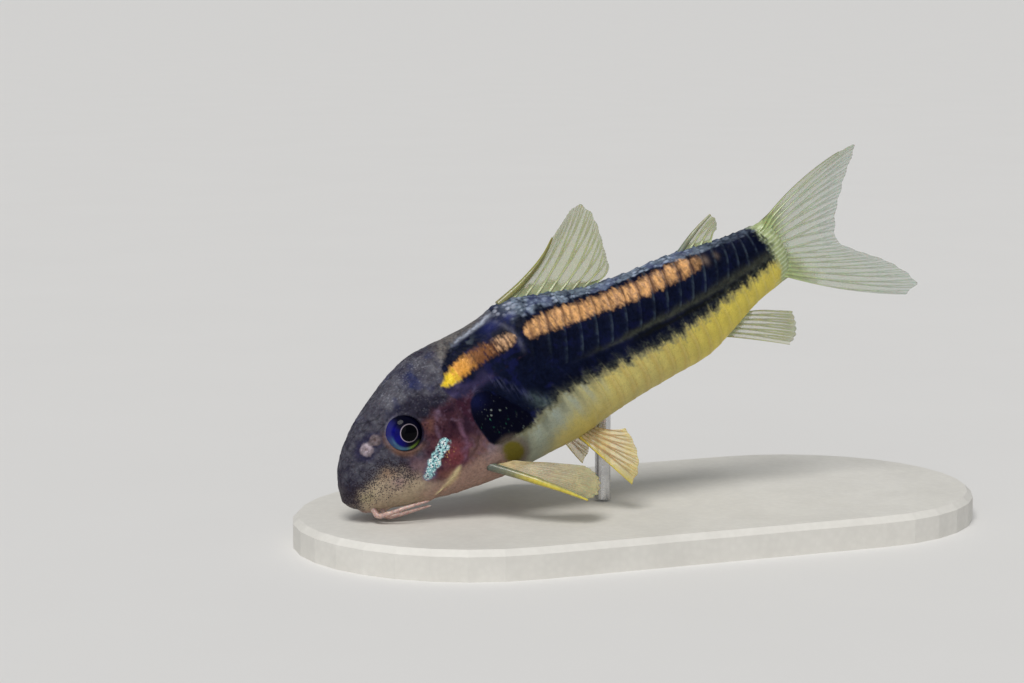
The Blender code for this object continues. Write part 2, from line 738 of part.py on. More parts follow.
def make_anal():
    rays = []
    many, along = 7, 6
    tips = spread(ANAL_TIPS, many)
    for i, x in enumerate(np.linspace(*ANAL_BASE, many)):
        share = i / (many - 1)
        base = (x, 0.0, belly_low(x) - BELLY_FIN_OFF)
        rays.append(ray(base, tips[i], along, (-0.2, 0.2 * math.sin(4.0 * share), 0.25)))
    return web("anal_fin", "yellow_fin", rays, (WEB_ROOT, WEB_TIP))


def make_caudal():
    rays = []
    many, along = 15, 8
    tips = spread(CAUDAL_TIPS, many)
    top, low = np.array(CAUDAL_ROOT[0]), np.array(CAUDAL_ROOT[1])
    for i in range(many):
        share = i / (many - 1)
        x, z = top + (low - top) * share
        spread_share = 2.0 * share - 1.0
        wave = 0.55 * math.sin(3.2 * share + 0.5)
        tip = tips[i] + np.array([0.0, wave, 0.0])
        rays.append(ray((x, 0.0, z), tip, along, (0.0, 0.25 * wave, -0.55 * spread_share)))
    return web("caudal_fin", "fin", rays, (WEB_ROOT, WEB_TIP))


def flank_at(x, z, side, out):
    """The point of the plain body at x and height z below its widest level, pushed out by out."""
    crest, wide, belly, half, above, below = (float(v) for v in body_at(np.float64(x)))
    share = min(max((wide - z) / (wide - belly), 0.0), 0.999)
    angle = -math.asin(share ** (below / 2.0))
    return side_point(x, angle, side, out)[0]


def make_pectoral(name, side):
    rays = []
    many, along = 9, 7
    tips = bent_path(PECTORAL_TIPS, many)
    (x0, z0), (x1, z1) = PECTORAL_ROOT
    for i in range(many):
        share = i / (many - 1)
        base = flank_at(x0 + (x1 - x0) * share, z0 + (z1 - z0) * share, side, SHOULDER_RISE + PAIRED_FIN_OFF)
        tip = tips[i] * np.array([1.0, side, 1.0])
        rays.append(ray(base, tip, along, (0.0, side * 0.5, 0.25)))
    return web(name, "fin", rays, (WEB_ROOT, WEB_TIP), spine=(0.50, 0.26))


def make_pelvic(name, side):
    rays = []
    many, along = 6, 6
    tips = bent_path(PELVIC_TIPS, many)
    (x0, y0), (x1, y1) = PELVIC_ROOT
    for i in range(many):
        share = i / (many - 1)
        x = x0 + (x1 - x0) * share
        base = under_at(x, side * (y0 + (y1 - y0) * share), PAIRED_FIN_OFF)
        tip = tips[i] * np.array([1.0, side, 1.0])
        rays.append(ray(base, tip, along, (0.0, side * 0.35, -0.15)))
    return web(name, "yellow_fin", rays, (WEB_ROOT, WEB_TIP))


def under_at(x, y, out):
    """The point of the belly at x and y, pushed out by out."""
    half, below = (float(body_at(np.float64(x))[k]) for k in (3, 5))
    angle = -math.acos(min(abs(y) / half, 0.999) ** (below / 2.0))
    return side_point(x, angle, math.copysign(1.0, y), out)[0]


def make_barbel(name, route, side):
    """A feeler that grows from the corner of the mouth and lies along the cheek, a little off it."""
    path = bent_path([side_point(x, math.radians(angle), side, out)[0] for x, angle, out in route], 9)
    radii = np.linspace(BARBEL_ROOT, BARBEL_TIP, 9)
    return tube_along(name, path, radii, "barbel", sides=7)


def make_base():
    """A stadium-shaped plate with a bevelled top edge."""
    radius = BASE_WIDTH / 2
    straight = BASE_LENGTH / 2 - radius
    outline = []
    for end, start in ((1, -90), (-1, 90)):
        for step in range(17):
            a = math.radians(start + 180 * step / 16)
            outline.append((end * straight + radius * math.cos(a), radius * math.sin(a)))
    levels = [(0.0, 0.0), (0.0, BASE_THICKNESS - BASE_BEVEL), (BASE_BEVEL, BASE_THICKNESS)]
    points = []
    for inset, z in levels:
        shrink = (radius - inset) / radius
        for x, y in outline:
            centre = math.copysign(straight, x)
            points.append(((centre + (x - centre) * shrink) * MM, y * shrink * MM, z * MM))
    count = len(outline)
    faces = []
    for level in range(len(levels) - 1):
        for k in range(count):
            a, b = level * count + k, level * count + (k + 1) % count
            faces.append((a, b, b + count, a + count))
    faces.append(tuple(range(count))[::-1])
    faces.append(tuple(range(2 * count, 3 * count)))
    return new_object("stand_base", points, faces, "base")


def belly_world(x, y):
    """World height of the fish's underside over a world point, in millimetres."""
    best = None
    for fish_x in np.linspace(18.0, 40.0, 441):
        half, below = (float(body_at(np.float64(fish_x))[k]) for k in (3, 5))
        angle = -math.acos(min(abs(y) / half, 0.999) ** (below / 2.0))
        _, z = section_point(np.float64(fish_x), np.float64(angle))
        at = to_world((fish_x, y, float(z))) / MM
        if best is None or abs(at[0] - x) < best[0]:
            best = (abs(at[0] - x), at[2])
    return best[1]


def make_rod():
    """A round rod from the base up to the belly, its top cut to lie along the belly."""
    centre = to_world((ROD_AT, 0.0, belly_low(ROD_AT))) / MM
    sides = 20
    low, top = [], []
    for s in range(sides):
        a = 2 * math.pi * s / sides
        x, y = centre[0] + ROD_RADIUS * math.cos(a), ROD_RADIUS * math.sin(a)
        low.append((x * MM, y * MM, (BASE_THICKNESS + GAP) * MM))
        top.append((x * MM, y * MM, (belly_world(x, y) - FIN_OFF) * MM))
    points = low + top
    faces = [tuple(range(sides))[::-1], tuple(range(sides, 2 * sides))]
    for k in range(sides):
        after = (k + 1) % sides
        faces.append((k, after, sides + after, sides + k))
    return new_object("stand_rod", points, faces, "rod")


def main():
    clear_scene()
    make_head()
    make_trunk()
    make_tail_stem()
    make_dorsal()
    make_adipose()
    make_anal()
    make_caudal()
    for word, side in (("left", -1), ("right", 1)):
        make_eye(f"eye_{word}", side)
        make_pectoral(f"pectoral_fin_{word}", side)
        make_pelvic(f"pelvic_fin_{word}", side)
        for kind, route in BARBELS.items():
            make_barbel(f"{kind}_{word}", route, side)
    make_base()
    make_rod()


main()
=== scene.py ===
"""Looks of the corydoras catfish: one skin over the head, trunk and tail stem, eyes, fins, feelers and stand.

The fish is laid out in its own frame in millimetres, as in the part's source: x runs from the snout
to the tail, y to its right-hand side and z to its back. It is then pitched head down over the base.
"""

import math

import bmesh
import bpy
import numpy as np
from mathutils import Matrix, Vector


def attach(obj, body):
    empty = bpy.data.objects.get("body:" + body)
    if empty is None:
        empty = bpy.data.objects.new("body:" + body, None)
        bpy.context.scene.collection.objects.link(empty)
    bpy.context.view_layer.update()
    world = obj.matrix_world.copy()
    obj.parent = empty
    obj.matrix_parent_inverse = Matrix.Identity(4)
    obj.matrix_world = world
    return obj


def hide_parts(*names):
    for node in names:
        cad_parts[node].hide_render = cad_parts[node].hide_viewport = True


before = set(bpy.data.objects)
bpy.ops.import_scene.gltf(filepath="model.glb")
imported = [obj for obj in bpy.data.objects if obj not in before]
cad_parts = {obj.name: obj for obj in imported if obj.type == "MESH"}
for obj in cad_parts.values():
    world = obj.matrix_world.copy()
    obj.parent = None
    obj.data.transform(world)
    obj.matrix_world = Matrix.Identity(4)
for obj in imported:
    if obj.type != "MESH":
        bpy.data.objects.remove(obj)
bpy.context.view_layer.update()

MM = 0.001
SIDES = (("left", -1), ("right", 1))
CREST, WIDE, BELLY, HALF, ABOVE, BELOW = range(6)
PITCH = math.radians(28.0)
SNOUT_AT = (-31.9, 0.0, 4.9)

# The body, as in the part's source.
BODY = np.array([
    (-0.15, 0.50, 0.20, -0.10, 0.80, 2.0, 2.0),
    (0.10, 1.45, 0.15, -0.55, 1.25, 2.0, 2.0),
    (0.60, 2.50, 0.10, -1.05, 1.70, 2.0, 2.1),
    (1.30, 3.60, 0.10, -1.60, 2.15, 2.0, 2.2),
    (2.40, 4.78, 0.20, -2.20, 2.65, 2.0, 2.3),
    (4.40, 6.25, 0.40, -3.05, 3.20, 2.0, 2.3),
    (7.25, 7.60, 0.45, -4.10, 3.95, 2.1, 2.3),
    (10.2, 8.75, 0.10, -5.00, 4.70, 2.1, 2.3),
    (13.0, 9.30, -0.60, -5.60, 5.30, 2.0, 2.4),
    (16.5, 8.95, -1.30, -6.10, 5.75, 1.9, 2.5),
    (20.0, 8.85, -1.80, -6.30, 5.85, 1.8, 2.6),
    (23.5, 9.10, -2.00, -6.65, 5.60, 1.7, 2.7),
    (27.5, 7.70, -2.00, -6.55, 5.20, 1.8, 2.6),
    (31.5, 6.00, -1.90, -6.70, 4.70, 1.9, 2.4),
    (36.0, 4.80, -1.90, -7.05, 4.05, 2.0, 2.2),
    (41.0, 4.00, -1.80, -7.30, 3.20, 2.0, 2.1),
    (44.5, 3.25, -1.70, -6.45, 2.55, 2.0, 2.0),
    (48.0, 2.35, -1.60, -5.45, 2.00, 2.0, 2.0),
    (52.0, 1.75, -1.60, -5.05, 1.60, 2.0, 2.0),
])
NOSE_TIP = -0.15
NOSE_ROUND = 0.6
CHEEK_ROUND = 1.3
SEAM = np.array(
    [
        (-0.2, 0.3), (8.0, 1.3), (16.0, 2.2), (25.0, 1.6), (30.0, 0.8), (35.0, 0.1), (42.0, -0.8),
        (52.0, -1.5),
    ],
)
HEAD_END = 15.2
TAIL_END = 52.0
SCUTES = 22
FIRST_EDGE = 0.4
FIRST_SCUTE = 1.95
LAST_SCUTE = 1.40
LEAN_AT_HEAD = 0.33
LEAN_ABOVE = 0.50
LEAN_BELOW = -0.12
EDGE_BOW = 0.35

# Fineness of the skin, and how its plates stand.
RINGS_HEAD = 215
RINGS_NOSE = 16
RINGS_PLATE = 9
RING_BELOW = 125
RING_ABOVE = 150
SCUTE_STEP = 0.10
SCUTE_RISE = 0.13
SHOULDER_RISE = 0.14
SHOULDER = (
    (15.9, 4.10), (15.1, 3.95), (14.65, 3.5), (14.3, 2.8), (14.1, 1.9), (14.15, 0.9), (14.25, 0.1),
    (14.35, -0.7),
    (14.7, -1.25), (15.4, -1.42), (16.6, -1.45), (18.2, -1.45), (19.2, -1.15), (19.35, -0.35), (18.75, 0.8),
    (18.1, 1.8), (17.5, 2.75), (16.8, 3.65), (15.9, 4.10),
)
SHIELD_EDGE = (
    (13.6, 4.6), (13.15, 5.4), (13.15, 6.0), (13.7, 6.7), (14.3, 7.6), (16.5, 8.62), (20.4, 8.75),
    (24.0, 9.4),
)

# Clouds that many marks share: name, size in millimetres, seed and octaves.
CLOUDS = (
    ("broad", 2.4, 21, 3), ("mottle", 0.9, 25, 3), ("small", 0.40, 27, 2), ("fine", 0.24, 29, 2),
    ("powder", 0.22, 29, 2), ("streak", (0.18, 0.7, 1.3), 33, 2),
)

EYE_AT = (7.88, 2.87, 3.90)
EYE_LOOK = (-0.07, 0.99, 0.09)
EYE_RADIUS = 1.90
EYE_DEPTH = 1.50
EYE_OPENING = 1.67
NOSTRILS = ((3.96, 4.20, 0.74), (5.10, 4.66, 0.62))
GILL_SLIT = (
    (13.6, 4.8), (14.2, 3.0), (14.2, 0.8), (13.2, -0.6), (11.3, -1.5), (9.6, -2.5), (8.2, -3.4), (7.0, -4.8),
)
GILL_FRONT = ((11.6, 4.8), (11.2, 2.4), (9.9, 0.0), (8.0, -1.8), (6.2, -3.0))
MOUTH_AT = 1.75
MOUTH_HALF = 1.35


def smooth(edge0, edge1, value):
    """An even step from 0 at edge0 to 1 at edge1."""
    share = unit((value - edge0) / (edge1 - edge0))
    return share * share * (3.0 - 2.0 * share)


def unit(value):
    """The value kept between 0 and 1."""
    return np.clip(value, 0.0, 1.0)


def bell(value, width):
    """A soft peak of 1 where the value is 0."""
    return np.exp(-(value / width) ** 2)


def mix(a, b, share):
    """Blends two colours, or two fields of colours, by a field of shares."""
    share = unit(np.asarray(share, float))[..., None]
    return np.asarray(a) * (1.0 - share) + np.asarray(b) * share


def curve_through(xs, ys, at):
    """A smooth curve through the points, read at the places asked for."""
    xs, ys, at = np.asarray(xs, float), np.asarray(ys, float), np.asarray(at, float)
    step = np.diff(xs)
    chord = np.diff(ys) / step
    slope = np.empty_like(ys)
    slope[0], slope[-1] = chord[0], chord[-1]
    slope[1:-1] = (chord[:-1] * step[1:] + chord[1:] * step[:-1]) / (step[1:] + step[:-1])
    k = np.clip(np.searchsorted(xs, at) - 1, 0, len(step) - 1)
    t = unit((at - xs[k]) / step[k])
    return (
        ys[k] * (1 + 2 * t) * (1 - t) ** 2
        + slope[k] * step[k] * t * (1 - t) ** 2
        + ys[k + 1] * t * t * (3 - 2 * t)
        + slope[k + 1] * step[k] * t * t * (t - 1)
    )


def body_at(x):
    """Back, widest level, belly, half width, and how square the section is above and below."""
    x = np.clip(x, NOSE_TIP, TAIL_END)
    crest, wide, belly, half, above, below = (
        curve_through(BODY[:, 0], BODY[:, column], x) for column in range(1, 7)
    )
    nose = unit((x - NOSE_TIP) / NOSE_ROUND)
    cheek = unit((x - NOSE_TIP) / CHEEK_ROUND)
    nose = np.sqrt(1.0 - (1.0 - nose) ** 2)
    cheek = np.sqrt(1.0 - (1.0 - cheek) ** 2)
    return wide + (crest - wide) * nose, wide, wide + (belly - wide) * nose, half * cheek, above, below


def body_value(x, kind):
    """One value of the body's section at one place: CREST, WIDE, BELLY, HALF, ABOVE or BELOW."""
    return float(body_at(np.float64(x))[kind])


def section_point(x, angle):
    """y and z of the body's surface at x, by angle from the widest level up (+) or down (-)."""
    crest, wide, belly, half, above, below = body_at(x)
    rise, run = np.abs(np.sin(angle)), np.abs(np.cos(angle))
    up = angle > 0
    power = 2.0 / np.where(up, above, below)
    y = half * run ** power
    z = wide + np.where(up, (crest - wide) * rise ** power, (belly - wide) * rise ** power)
    return y, z


def seam_level(x):
    """Height of the seam between the two rows of scutes."""
    return curve_through(SEAM[:, 0], SEAM[:, 1], x)


def seam_angle(x):
    """Angle of the seam round the section at x."""
    crest, wide, belly, _, above, below = body_at(x)
    level = seam_level(x)
    up = level > wide
    share = np.where(up, (level - wide) / (crest - wide), (wide - level) / (wide - belly))
    share = np.clip(share, 0.0, 0.98)
    angle = np.arcsin(share ** (np.where(up, above, below) / 2.0))
    return np.where(up, angle, -angle)


def scute_place(q):
    """x at the seam of the front of plate number q."""
    share = q / SCUTES
    travelled = q * (FIRST_SCUTE + (LAST_SCUTE - FIRST_SCUTE) * share / 2.0)
    whole = SCUTES * (FIRST_SCUTE + LAST_SCUTE) / 2.0
    return HEAD_END + travelled * (TAIL_END - HEAD_END) / whole


def leans(x):
    """How far rings lean above and below the seam, and how much they bow."""
    head = smooth(2.0, HEAD_END, x)
    tail = smooth(44.0, TAIL_END, x)
    armour = smooth(HEAD_END, HEAD_END + 9.0, x)
    above = (LEAN_AT_HEAD * head + (LEAN_ABOVE - LEAN_AT_HEAD) * armour) * (1.0 - tail)
    below = (LEAN_AT_HEAD * head + (LEAN_BELOW - LEAN_AT_HEAD) * armour) * (1.0 - tail)
    return above, below, armour * (1.0 - tail)


def to_world(points):
    """From the fish's own millimetres to metres over the base."""
    points = np.asarray(points, float)
    x = points[..., 0] * math.cos(PITCH) - points[..., 2] * math.sin(PITCH)
    z = points[..., 0] * math.sin(PITCH) + points[..., 2] * math.cos(PITCH)
    return (np.stack([x, points[..., 1], z], axis=-1) + np.array(SNOUT_AT)) * MM


def hashed(cell, seed):
    """A steady random number from 0 to 1 for each whole-numbered cell."""
    n = (cell[..., 0] * 73856093) ^ (cell[..., 1] * 19349663) ^ (cell[..., 2] * 83492791) ^ (seed * 265443576)
    n = n & 0xFFFFFFFF
    for _ in range(2):
        n = ((n ^ (n >> 16)) * 0x45D9F3B) & 0xFFFFFFFF
    return (n ^ (n >> 16)) / 4294967295.0


def noise(points, size, seed):
    """Smooth random values from 0 to 1 over space. size is a number, or one per axis, in millimetres."""
    p = np.asarray(points, float) / np.asarray(size, float)
    base = np.floor(p).astype(np.int64)
    f = p - base
    f = f * f * (3.0 - 2.0 * f)
    total = 0.0
    for dx in (0, 1):
        for dy in (0, 1):
            for dz in (0, 1):
                weight = (
                    (f[..., 0] if dx else 1 - f[..., 0])
                    * (f[..., 1] if dy else 1 - f[..., 1])
                    * (f[..., 2] if dz else 1 - f[..., 2])
                )
                total = total + weight * hashed(base + np.array([dx, dy, dz]), seed)
    return total


def cloud(points, size, seed, octaves=3):
    """Noise with finer noise in it, spread to about 0 to 1."""
    total, weight, part = 0.0, 0.0, 1.0
    for octave in range(octaves):
        total = total + part * noise(points, np.asarray(size, float) / 2 ** octave, seed + octave)
        weight += part
        part *= 0.55
    return unit((total / weight - 0.5) * 1.7 + 0.5)


def flecks(points, size, seed):
    """Distance to the nearest of many scattered spots, in spot sizes, and that spot's random number."""
    p = np.asarray(points, float) / np.asarray(size, float)
    base = np.floor(p).astype(np.int64)
    best = np.full(p.shape[:-1], 9.0)
    own = np.zeros(p.shape[:-1])
    for dx in (-1, 0, 1):
        for dy in (-1, 0, 1):
            for dz in (-1, 0, 1):
                cell = base + np.array([dx, dy, dz])
                spot = cell + np.stack([hashed(cell, seed + k) for k in range(3)], axis=-1)
                far = np.linalg.norm(p - spot, axis=-1)
                nearer = far < best
                best = np.where(nearer, far, best)
                own = np.where(nearer, hashed(cell, seed + 7), own)
    return best, own


def from_route(x, z, route):
    """Signed distance from a route over the side of the fish, and how far along it the nearest point is."""
    route = np.asarray(route, float)
    best = np.full(np.shape(x), 1e9)
    signed = np.zeros(np.shape(x))
    place = np.zeros(np.shape(x))
    for k, ((x0, z0), (x1, z1)) in enumerate(zip(route[:-1], route[1:])):
        along_x, along_z = x1 - x0, z1 - z0
        share = unit(((x - x0) * along_x + (z - z0) * along_z) / (along_x ** 2 + along_z ** 2))
        off_x, off_z = x - x0 - share * along_x, z - z0 - share * along_z
        far = np.hypot(off_x, off_z)
        side = np.where(along_x * off_z - along_z * off_x > 0, 1.0, -1.0)
        nearer = far < best
        signed = np.where(nearer, far * side, signed)
        place = np.where(nearer, (k + share) / (len(route) - 1), place)
        best = np.minimum(best, far)
    return signed, place


def inside_of(x, z, outline):
    """Distance from a closed outline over the side of the fish, positive inside it."""
    far = np.abs(from_route(x, z, outline)[0])
    within = np.zeros(np.shape(x), bool)
    for (x0, z0), (x1, z1) in zip(outline[:-1], outline[1:]):
        if z0 != z1:
            crosses = ((z0 > z) != (z1 > z)) & (x < (x1 - x0) * (z - z0) / (z1 - z0) + x0)
            within = within ^ crosses
    return np.where(within, far, -far)


def mesh_object(name, points, faces):
    """A smooth mesh object from points in metres."""
    mesh = bpy.data.meshes.new(name)
    mesh.from_pydata(np.asarray(points, float).tolist(), [], [tuple(f) for f in faces])
    mesh.shade_smooth()
    item = bpy.data.objects.new(name, mesh)
    bpy.context.scene.collection.objects.link(item)
    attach(item, "root")
    return item


def ring_faces(rings, count):
    """Faces of a closed form made of rings of points, with one more point at each end."""
    k = np.arange(count)
    after = (k + 1) % count
    r = np.arange(rings - 1)[:, None] * count
    quads = np.stack([r + k, r + after, r + count + after, r + count + k], axis=-1).reshape(-1, 4)
    total, last = rings * count, (rings - 1) * count
    caps = [(total, int(b), int(a)) for a, b in zip(k, after)]
    caps += [(total + 1, int(last + a), int(last + b)) for a, b in zip(k, after)]
    return quads.tolist() + caps


def give_colour(item, name, colour):
    """Stores a colour for each point of the mesh."""
    values = np.ones((len(colour), 4), dtype=np.float32)
    values[:, :3] = colour
    layer = item.data.attributes.new(name, "FLOAT_COLOR", "POINT")
    layer.data.foreach_set("color", values.ravel())


def give_value(item, name, value):
    """Stores a number for each point of the mesh."""
    layer = item.data.attributes.new(name, "FLOAT", "POINT")
    layer.data.foreach_set("value", np.asarray(value, dtype=np.float32).ravel())


def orient(item):
    """Turns a closed mesh's faces outwards."""
    work = bmesh.new()
    work.from_mesh(item.data)
    bmesh.ops.recalc_face_normals(work, faces=work.faces)
    if work.calc_volume(signed=True) < 0:
        bmesh.ops.reverse_faces(work, faces=work.faces)
    work.to_mesh(item.data)
    work.free()


class Shader:
    """Short ways to add and link nodes in one material."""

    def __init__(self, name):
        self.material = bpy.data.materials.new(name)
        self.material.use_nodes = True
        self.tree = self.material.node_tree
        self.shader = self.tree.nodes["Principled BSDF"]

    def node(self, kind, **settings):
        made = self.tree.nodes.new(kind)
        for key, value in settings.items():
            setattr(made, key, value)
        return made

    def link(self, source, target):
        self.tree.links.new(source, target)

    def attribute(self, name, output="Fac"):
        made = self.node("ShaderNodeAttribute", attribute_type="GEOMETRY", attribute_name=name)
        return made.outputs[output]

    def coordinates(self):
        return self.node("ShaderNodeTexCoord").outputs["Object"]

    def noise(self, scale, detail=3.0, roughness=0.6):
        made = self.node("ShaderNodeTexNoise")
        made.inputs["Scale"].default_value = scale
        made.inputs["Detail"].default_value = detail
        made.inputs["Roughness"].default_value = roughness
        self.link(self.coordinates(), made.inputs["Vector"])
        return made.outputs["Fac"]

    def voronoi(self, scale):
        made = self.node("ShaderNodeTexVoronoi", feature="F1")
        made.inputs["Scale"].default_value = scale
        self.link(self.coordinates(), made.inputs["Vector"])
        return made

    def cells(self, scale):
        return self.voronoi(scale).outputs["Distance"]

    def spots(self, scale):
        """Distance to the nearest scattered spot, in spot sizes, and that spot's random number."""
        made = self.voronoi(scale)
        split = self.node("ShaderNodeSeparateColor")
        self.link(made.outputs["Color"], split.inputs[0])
        return made.outputs["Distance"], split.outputs[0]

    def ranged(self, value, low, high, to_low, to_high):
        made = self.node("ShaderNodeMapRange")
        self.link(value, made.inputs["Value"])
        for key, number in (("From Min", low), ("From Max", high), ("To Min", to_low), ("To Max", to_high)):
            made.inputs[key].default_value = number
        return made.outputs["Result"]

    def maths(self, operation, a, b):
        made = self.node("ShaderNodeMath", operation=operation)
        for value, target in ((a, made.inputs[0]), (b, made.inputs[1])):
            if isinstance(value, float):
                target.default_value = value
            else:
                self.link(value, target)
        return made.outputs[0]

    def blend(self, share, a, b, mode="MIX"):
        """Mixes two colours. Each is a socket or three numbers, and share is a socket or a number."""
        made = self.node("ShaderNodeMix", data_type="RGBA", blend_type=mode)
        for value, target in ((share, made.inputs[0]), (a, made.inputs[6]), (b, made.inputs[7])):
            if isinstance(value, float):
                target.default_value = value
            elif isinstance(value, tuple):
                target.default_value = (*value, 1.0)
            else:
                self.link(value, target)
        return made.outputs[2]

    def bump(self, height, distance, strength=1.0, after=None):
        made = self.node("ShaderNodeBump")
        made.inputs["Distance"].default_value = distance
        made.inputs["Strength"].default_value = strength
        self.link(height, made.inputs["Height"])
        if after is not None:
            self.link(after, made.inputs["Normal"])
        return made.outputs["Normal"]

    def times(self, colour, value):
        """A colour made darker or paler by a value about 1."""
        grey = self.blend(value, (0.0, 0.0, 0.0), (1.0, 1.0, 1.0))
        return self.blend(1.0, colour, grey, "MULTIPLY")

    def feed(self, **sources):
        """Links sources to the main shader's inputs, named with _ for each space."""
        for key, source in sources.items():
            self.link(source, self.shader.inputs[key.replace("_", " ")])

    def set(self, **values):
        for key, value in values.items():
            self.shader.inputs[key.replace("_", " ")].default_value = value


def skin_places():
    """x at the seam and plate number for every ring of the skin, from the snout to the tail."""
    nose = NOSE_TIP + 0.01 + 0.7 * (np.arange(RINGS_NOSE) / RINGS_NOSE) ** 2
    head = np.linspace(NOSE_TIP + 0.71, HEAD_END, RINGS_HEAD, endpoint=False)
    q = [0.0]
    for half in range(2 * SCUTES + 2):
        edge = FIRST_EDGE + half / 2.0 - 0.5
        for share in np.linspace(0.0, 1.0, RINGS_PLATE, endpoint=False):
            q.append(edge + SCUTE_STEP + share * (0.5 - SCUTE_STEP))
        q.append(edge + 0.5)
    q = np.unique(np.round([v for v in q if 0.0 <= v <= SCUTES], 5))
    close = 1.4 * np.array([0.12, 0.25, 0.38, 0.5, 0.6, 0.7, 0.78, 0.85, 0.9, 0.95, 0.98, 1.0])
    x = np.concatenate([nose, head, scute_place(q), TAIL_END + close])
    plate = np.concatenate([nose * 0.0 - 1.0, head * 0.0 - 1.0, q, SCUTES + close * 0.0])
    return x, plate


def eye_frame(side):
    """Centre of an eye and the direction in which it looks."""
    centre = np.array(EYE_AT) * np.array([1.0, side, 1.0])
    look = np.array(EYE_LOOK) * np.array([1.0, side, 1.0])
    return centre, look / np.linalg.norm(look)


def mouth_place(f):
    """How far each point lies behind the upper lip, and how much it is under the snout."""
    x, angle, y = f["x"], f["angle"], f["point"][..., 1]
    arc = x - (MOUTH_AT - 0.55 + 0.75 * (y / MOUTH_HALF) ** 2)
    near = smooth(MOUTH_HALF + 0.5, MOUTH_HALF, np.abs(y))
    return arc, smooth(math.radians(-30), math.radians(-62), angle) * near


def plate_height(f, grain, fold):
    """Scutes, the bare back, the shoulder plate and the shield behind the head."""
    x, z, angle, point = parts(f, "x z angle point")
    above = z > f["level"]
    rise = np.where(above, f["phase_above"], f["phase_below"]) ** 1.4
    rows = smooth(0.0, 0.35, np.abs(z - f["level"]))
    belly = 0.22 + 0.78 * smooth(math.radians(-66), math.radians(-30), angle)
    belly = belly * smooth(math.radians(-89), math.radians(-74), angle)
    plates = SCUTE_RISE * rise * rows * belly * (0.08 + 0.92 * smooth(20.5, 25.0, x)) + 0.035 * (grain - 0.5)
    plates = plates * (1.0 - 0.6 * smooth(46.0, 51.5, x))
    knob, knob_own = flecks(point, (0.62, 0.40, 0.42), 17)
    plates = plates + 0.06 * f["crest"] * smooth(0.75, 0.1, knob) * (0.4 + knob_own)
    raised = smooth(-0.06, 0.10, f["shoulder"])
    plates = plates * (1 - raised) + (SHOULDER_RISE + 0.05 * (grain - 0.5)) * raised
    plates = plates - 0.08 * bell(f["shoulder"] + 0.12, 0.10)
    shield = smooth(0.05, -0.12, f["shield"]) * (x > 13.0) * (z > 4.9)
    plates = plates * (1 - shield) + (0.05 * (grain - 0.5) + 0.06 * (fold - 0.5) + 0.06) * shield
    plates = plates - 0.06 * bell(f["shield"], 0.12) * (z > 5.2) * smooth(23.0, 20.0, x)
    return plates


def head_height(f, grain, fold):
    """Gill cover, wrinkles, brow, nostrils and lips."""
    x, z, angle, point, slit, front = parts(f, "x z angle point slit front")
    top = smooth(5.2, 4.0, z)
    cover = smooth(-0.3, 0.6, front) * smooth(0.16, -0.42, slit)
    grooves = 0.38 * bell(slit - 0.08, 0.20) + 0.18 * bell(front, 0.32)
    fade = smooth(math.radians(-86), math.radians(-70), angle)
    head = (0.16 * cover - 0.26 * grooves) * top * fade
    wrinkle = np.abs(cloud(point, (1.5, 1.0, 1.0), 123, 2) - 0.5)
    head = (
        head + 0.06 * (grain - 0.5) + 0.08 * (fold - 0.5)
        - 0.04 * bell(wrinkle, 0.035) * smooth(0.0, 3.0, z)
    )
    brow = bell(z - 5.5, 0.5) * smooth(4.5, 6.5, x) * smooth(13.0, 10.0, x)
    head = head + 0.06 * brow
    for (*_, radius), far in zip(NOSTRILS, f["nostril"]):
        far = far + 0.16 * (grain - 0.5)
        head = head + 0.09 * smooth(radius * 1.05, radius * 0.35, far) - 0.05 * bell(far - radius * 1.2, 0.18)
        head = head - 0.10 * smooth(radius * 0.30, radius * 0.08, far)
    arc, under = mouth_place(f)
    head = head + under * (0.24 * bell(arc, 0.26) + 0.22 * bell(arc - 0.95, 0.26))
    head = head - under * 0.34 * bell(arc - 0.48, 0.13)
    return head


def skin_height(f):
    """How far the skin stands out at each point, in millimetres."""
    grain = cloud(f["point"], 0.42, 11)
    fold = cloud(f["point"], 1.6, 15)
    share = smooth(HEAD_END - 0.9, HEAD_END + 0.2, f["x"])
    return head_height(f, grain, fold) * (1 - share) + plate_height(f, grain, fold) * share


def far_from(points, at_x, at_z):
    """Distance through space from the point of the side of the head nearest to the place given."""
    near = np.hypot(points[..., 0] - at_x, points[..., 2] - at_z)
    centre = points.reshape(-1, 3)[np.argmin(near)]
    return np.linalg.norm(points - centre, axis=-1)


def surface_normals(points):
    """Outward unit normals of one side of the skin, level along its upper and lower edges."""
    normal = np.cross(np.gradient(points, axis=0), np.gradient(points, axis=1))
    normal /= np.maximum(np.linalg.norm(normal, axis=-1, keepdims=True), 1e-9)
    middle = (points.shape[0] // 2, points.shape[1] // 2)
    if normal[middle][1] * points[middle][1] < 0:
        normal = -normal
    normal[:, 0] = normal[:, 0] * np.array([1, 0, 1])
    normal[:, -1] = normal[:, -1] * np.array([1, 0, 1])
    return normal


def scute_phase(q):
    """How far along its scute each point is: 0 at the front edge, 1 at the rear one, then down the step."""
    phase = ((q - SCUTE_STEP) % 1.0) / (1.0 - SCUTE_STEP)
    return np.where(phase > 1.0, (1.0 / (1.0 - SCUTE_STEP) - phase) / SCUTE_STEP, phase)


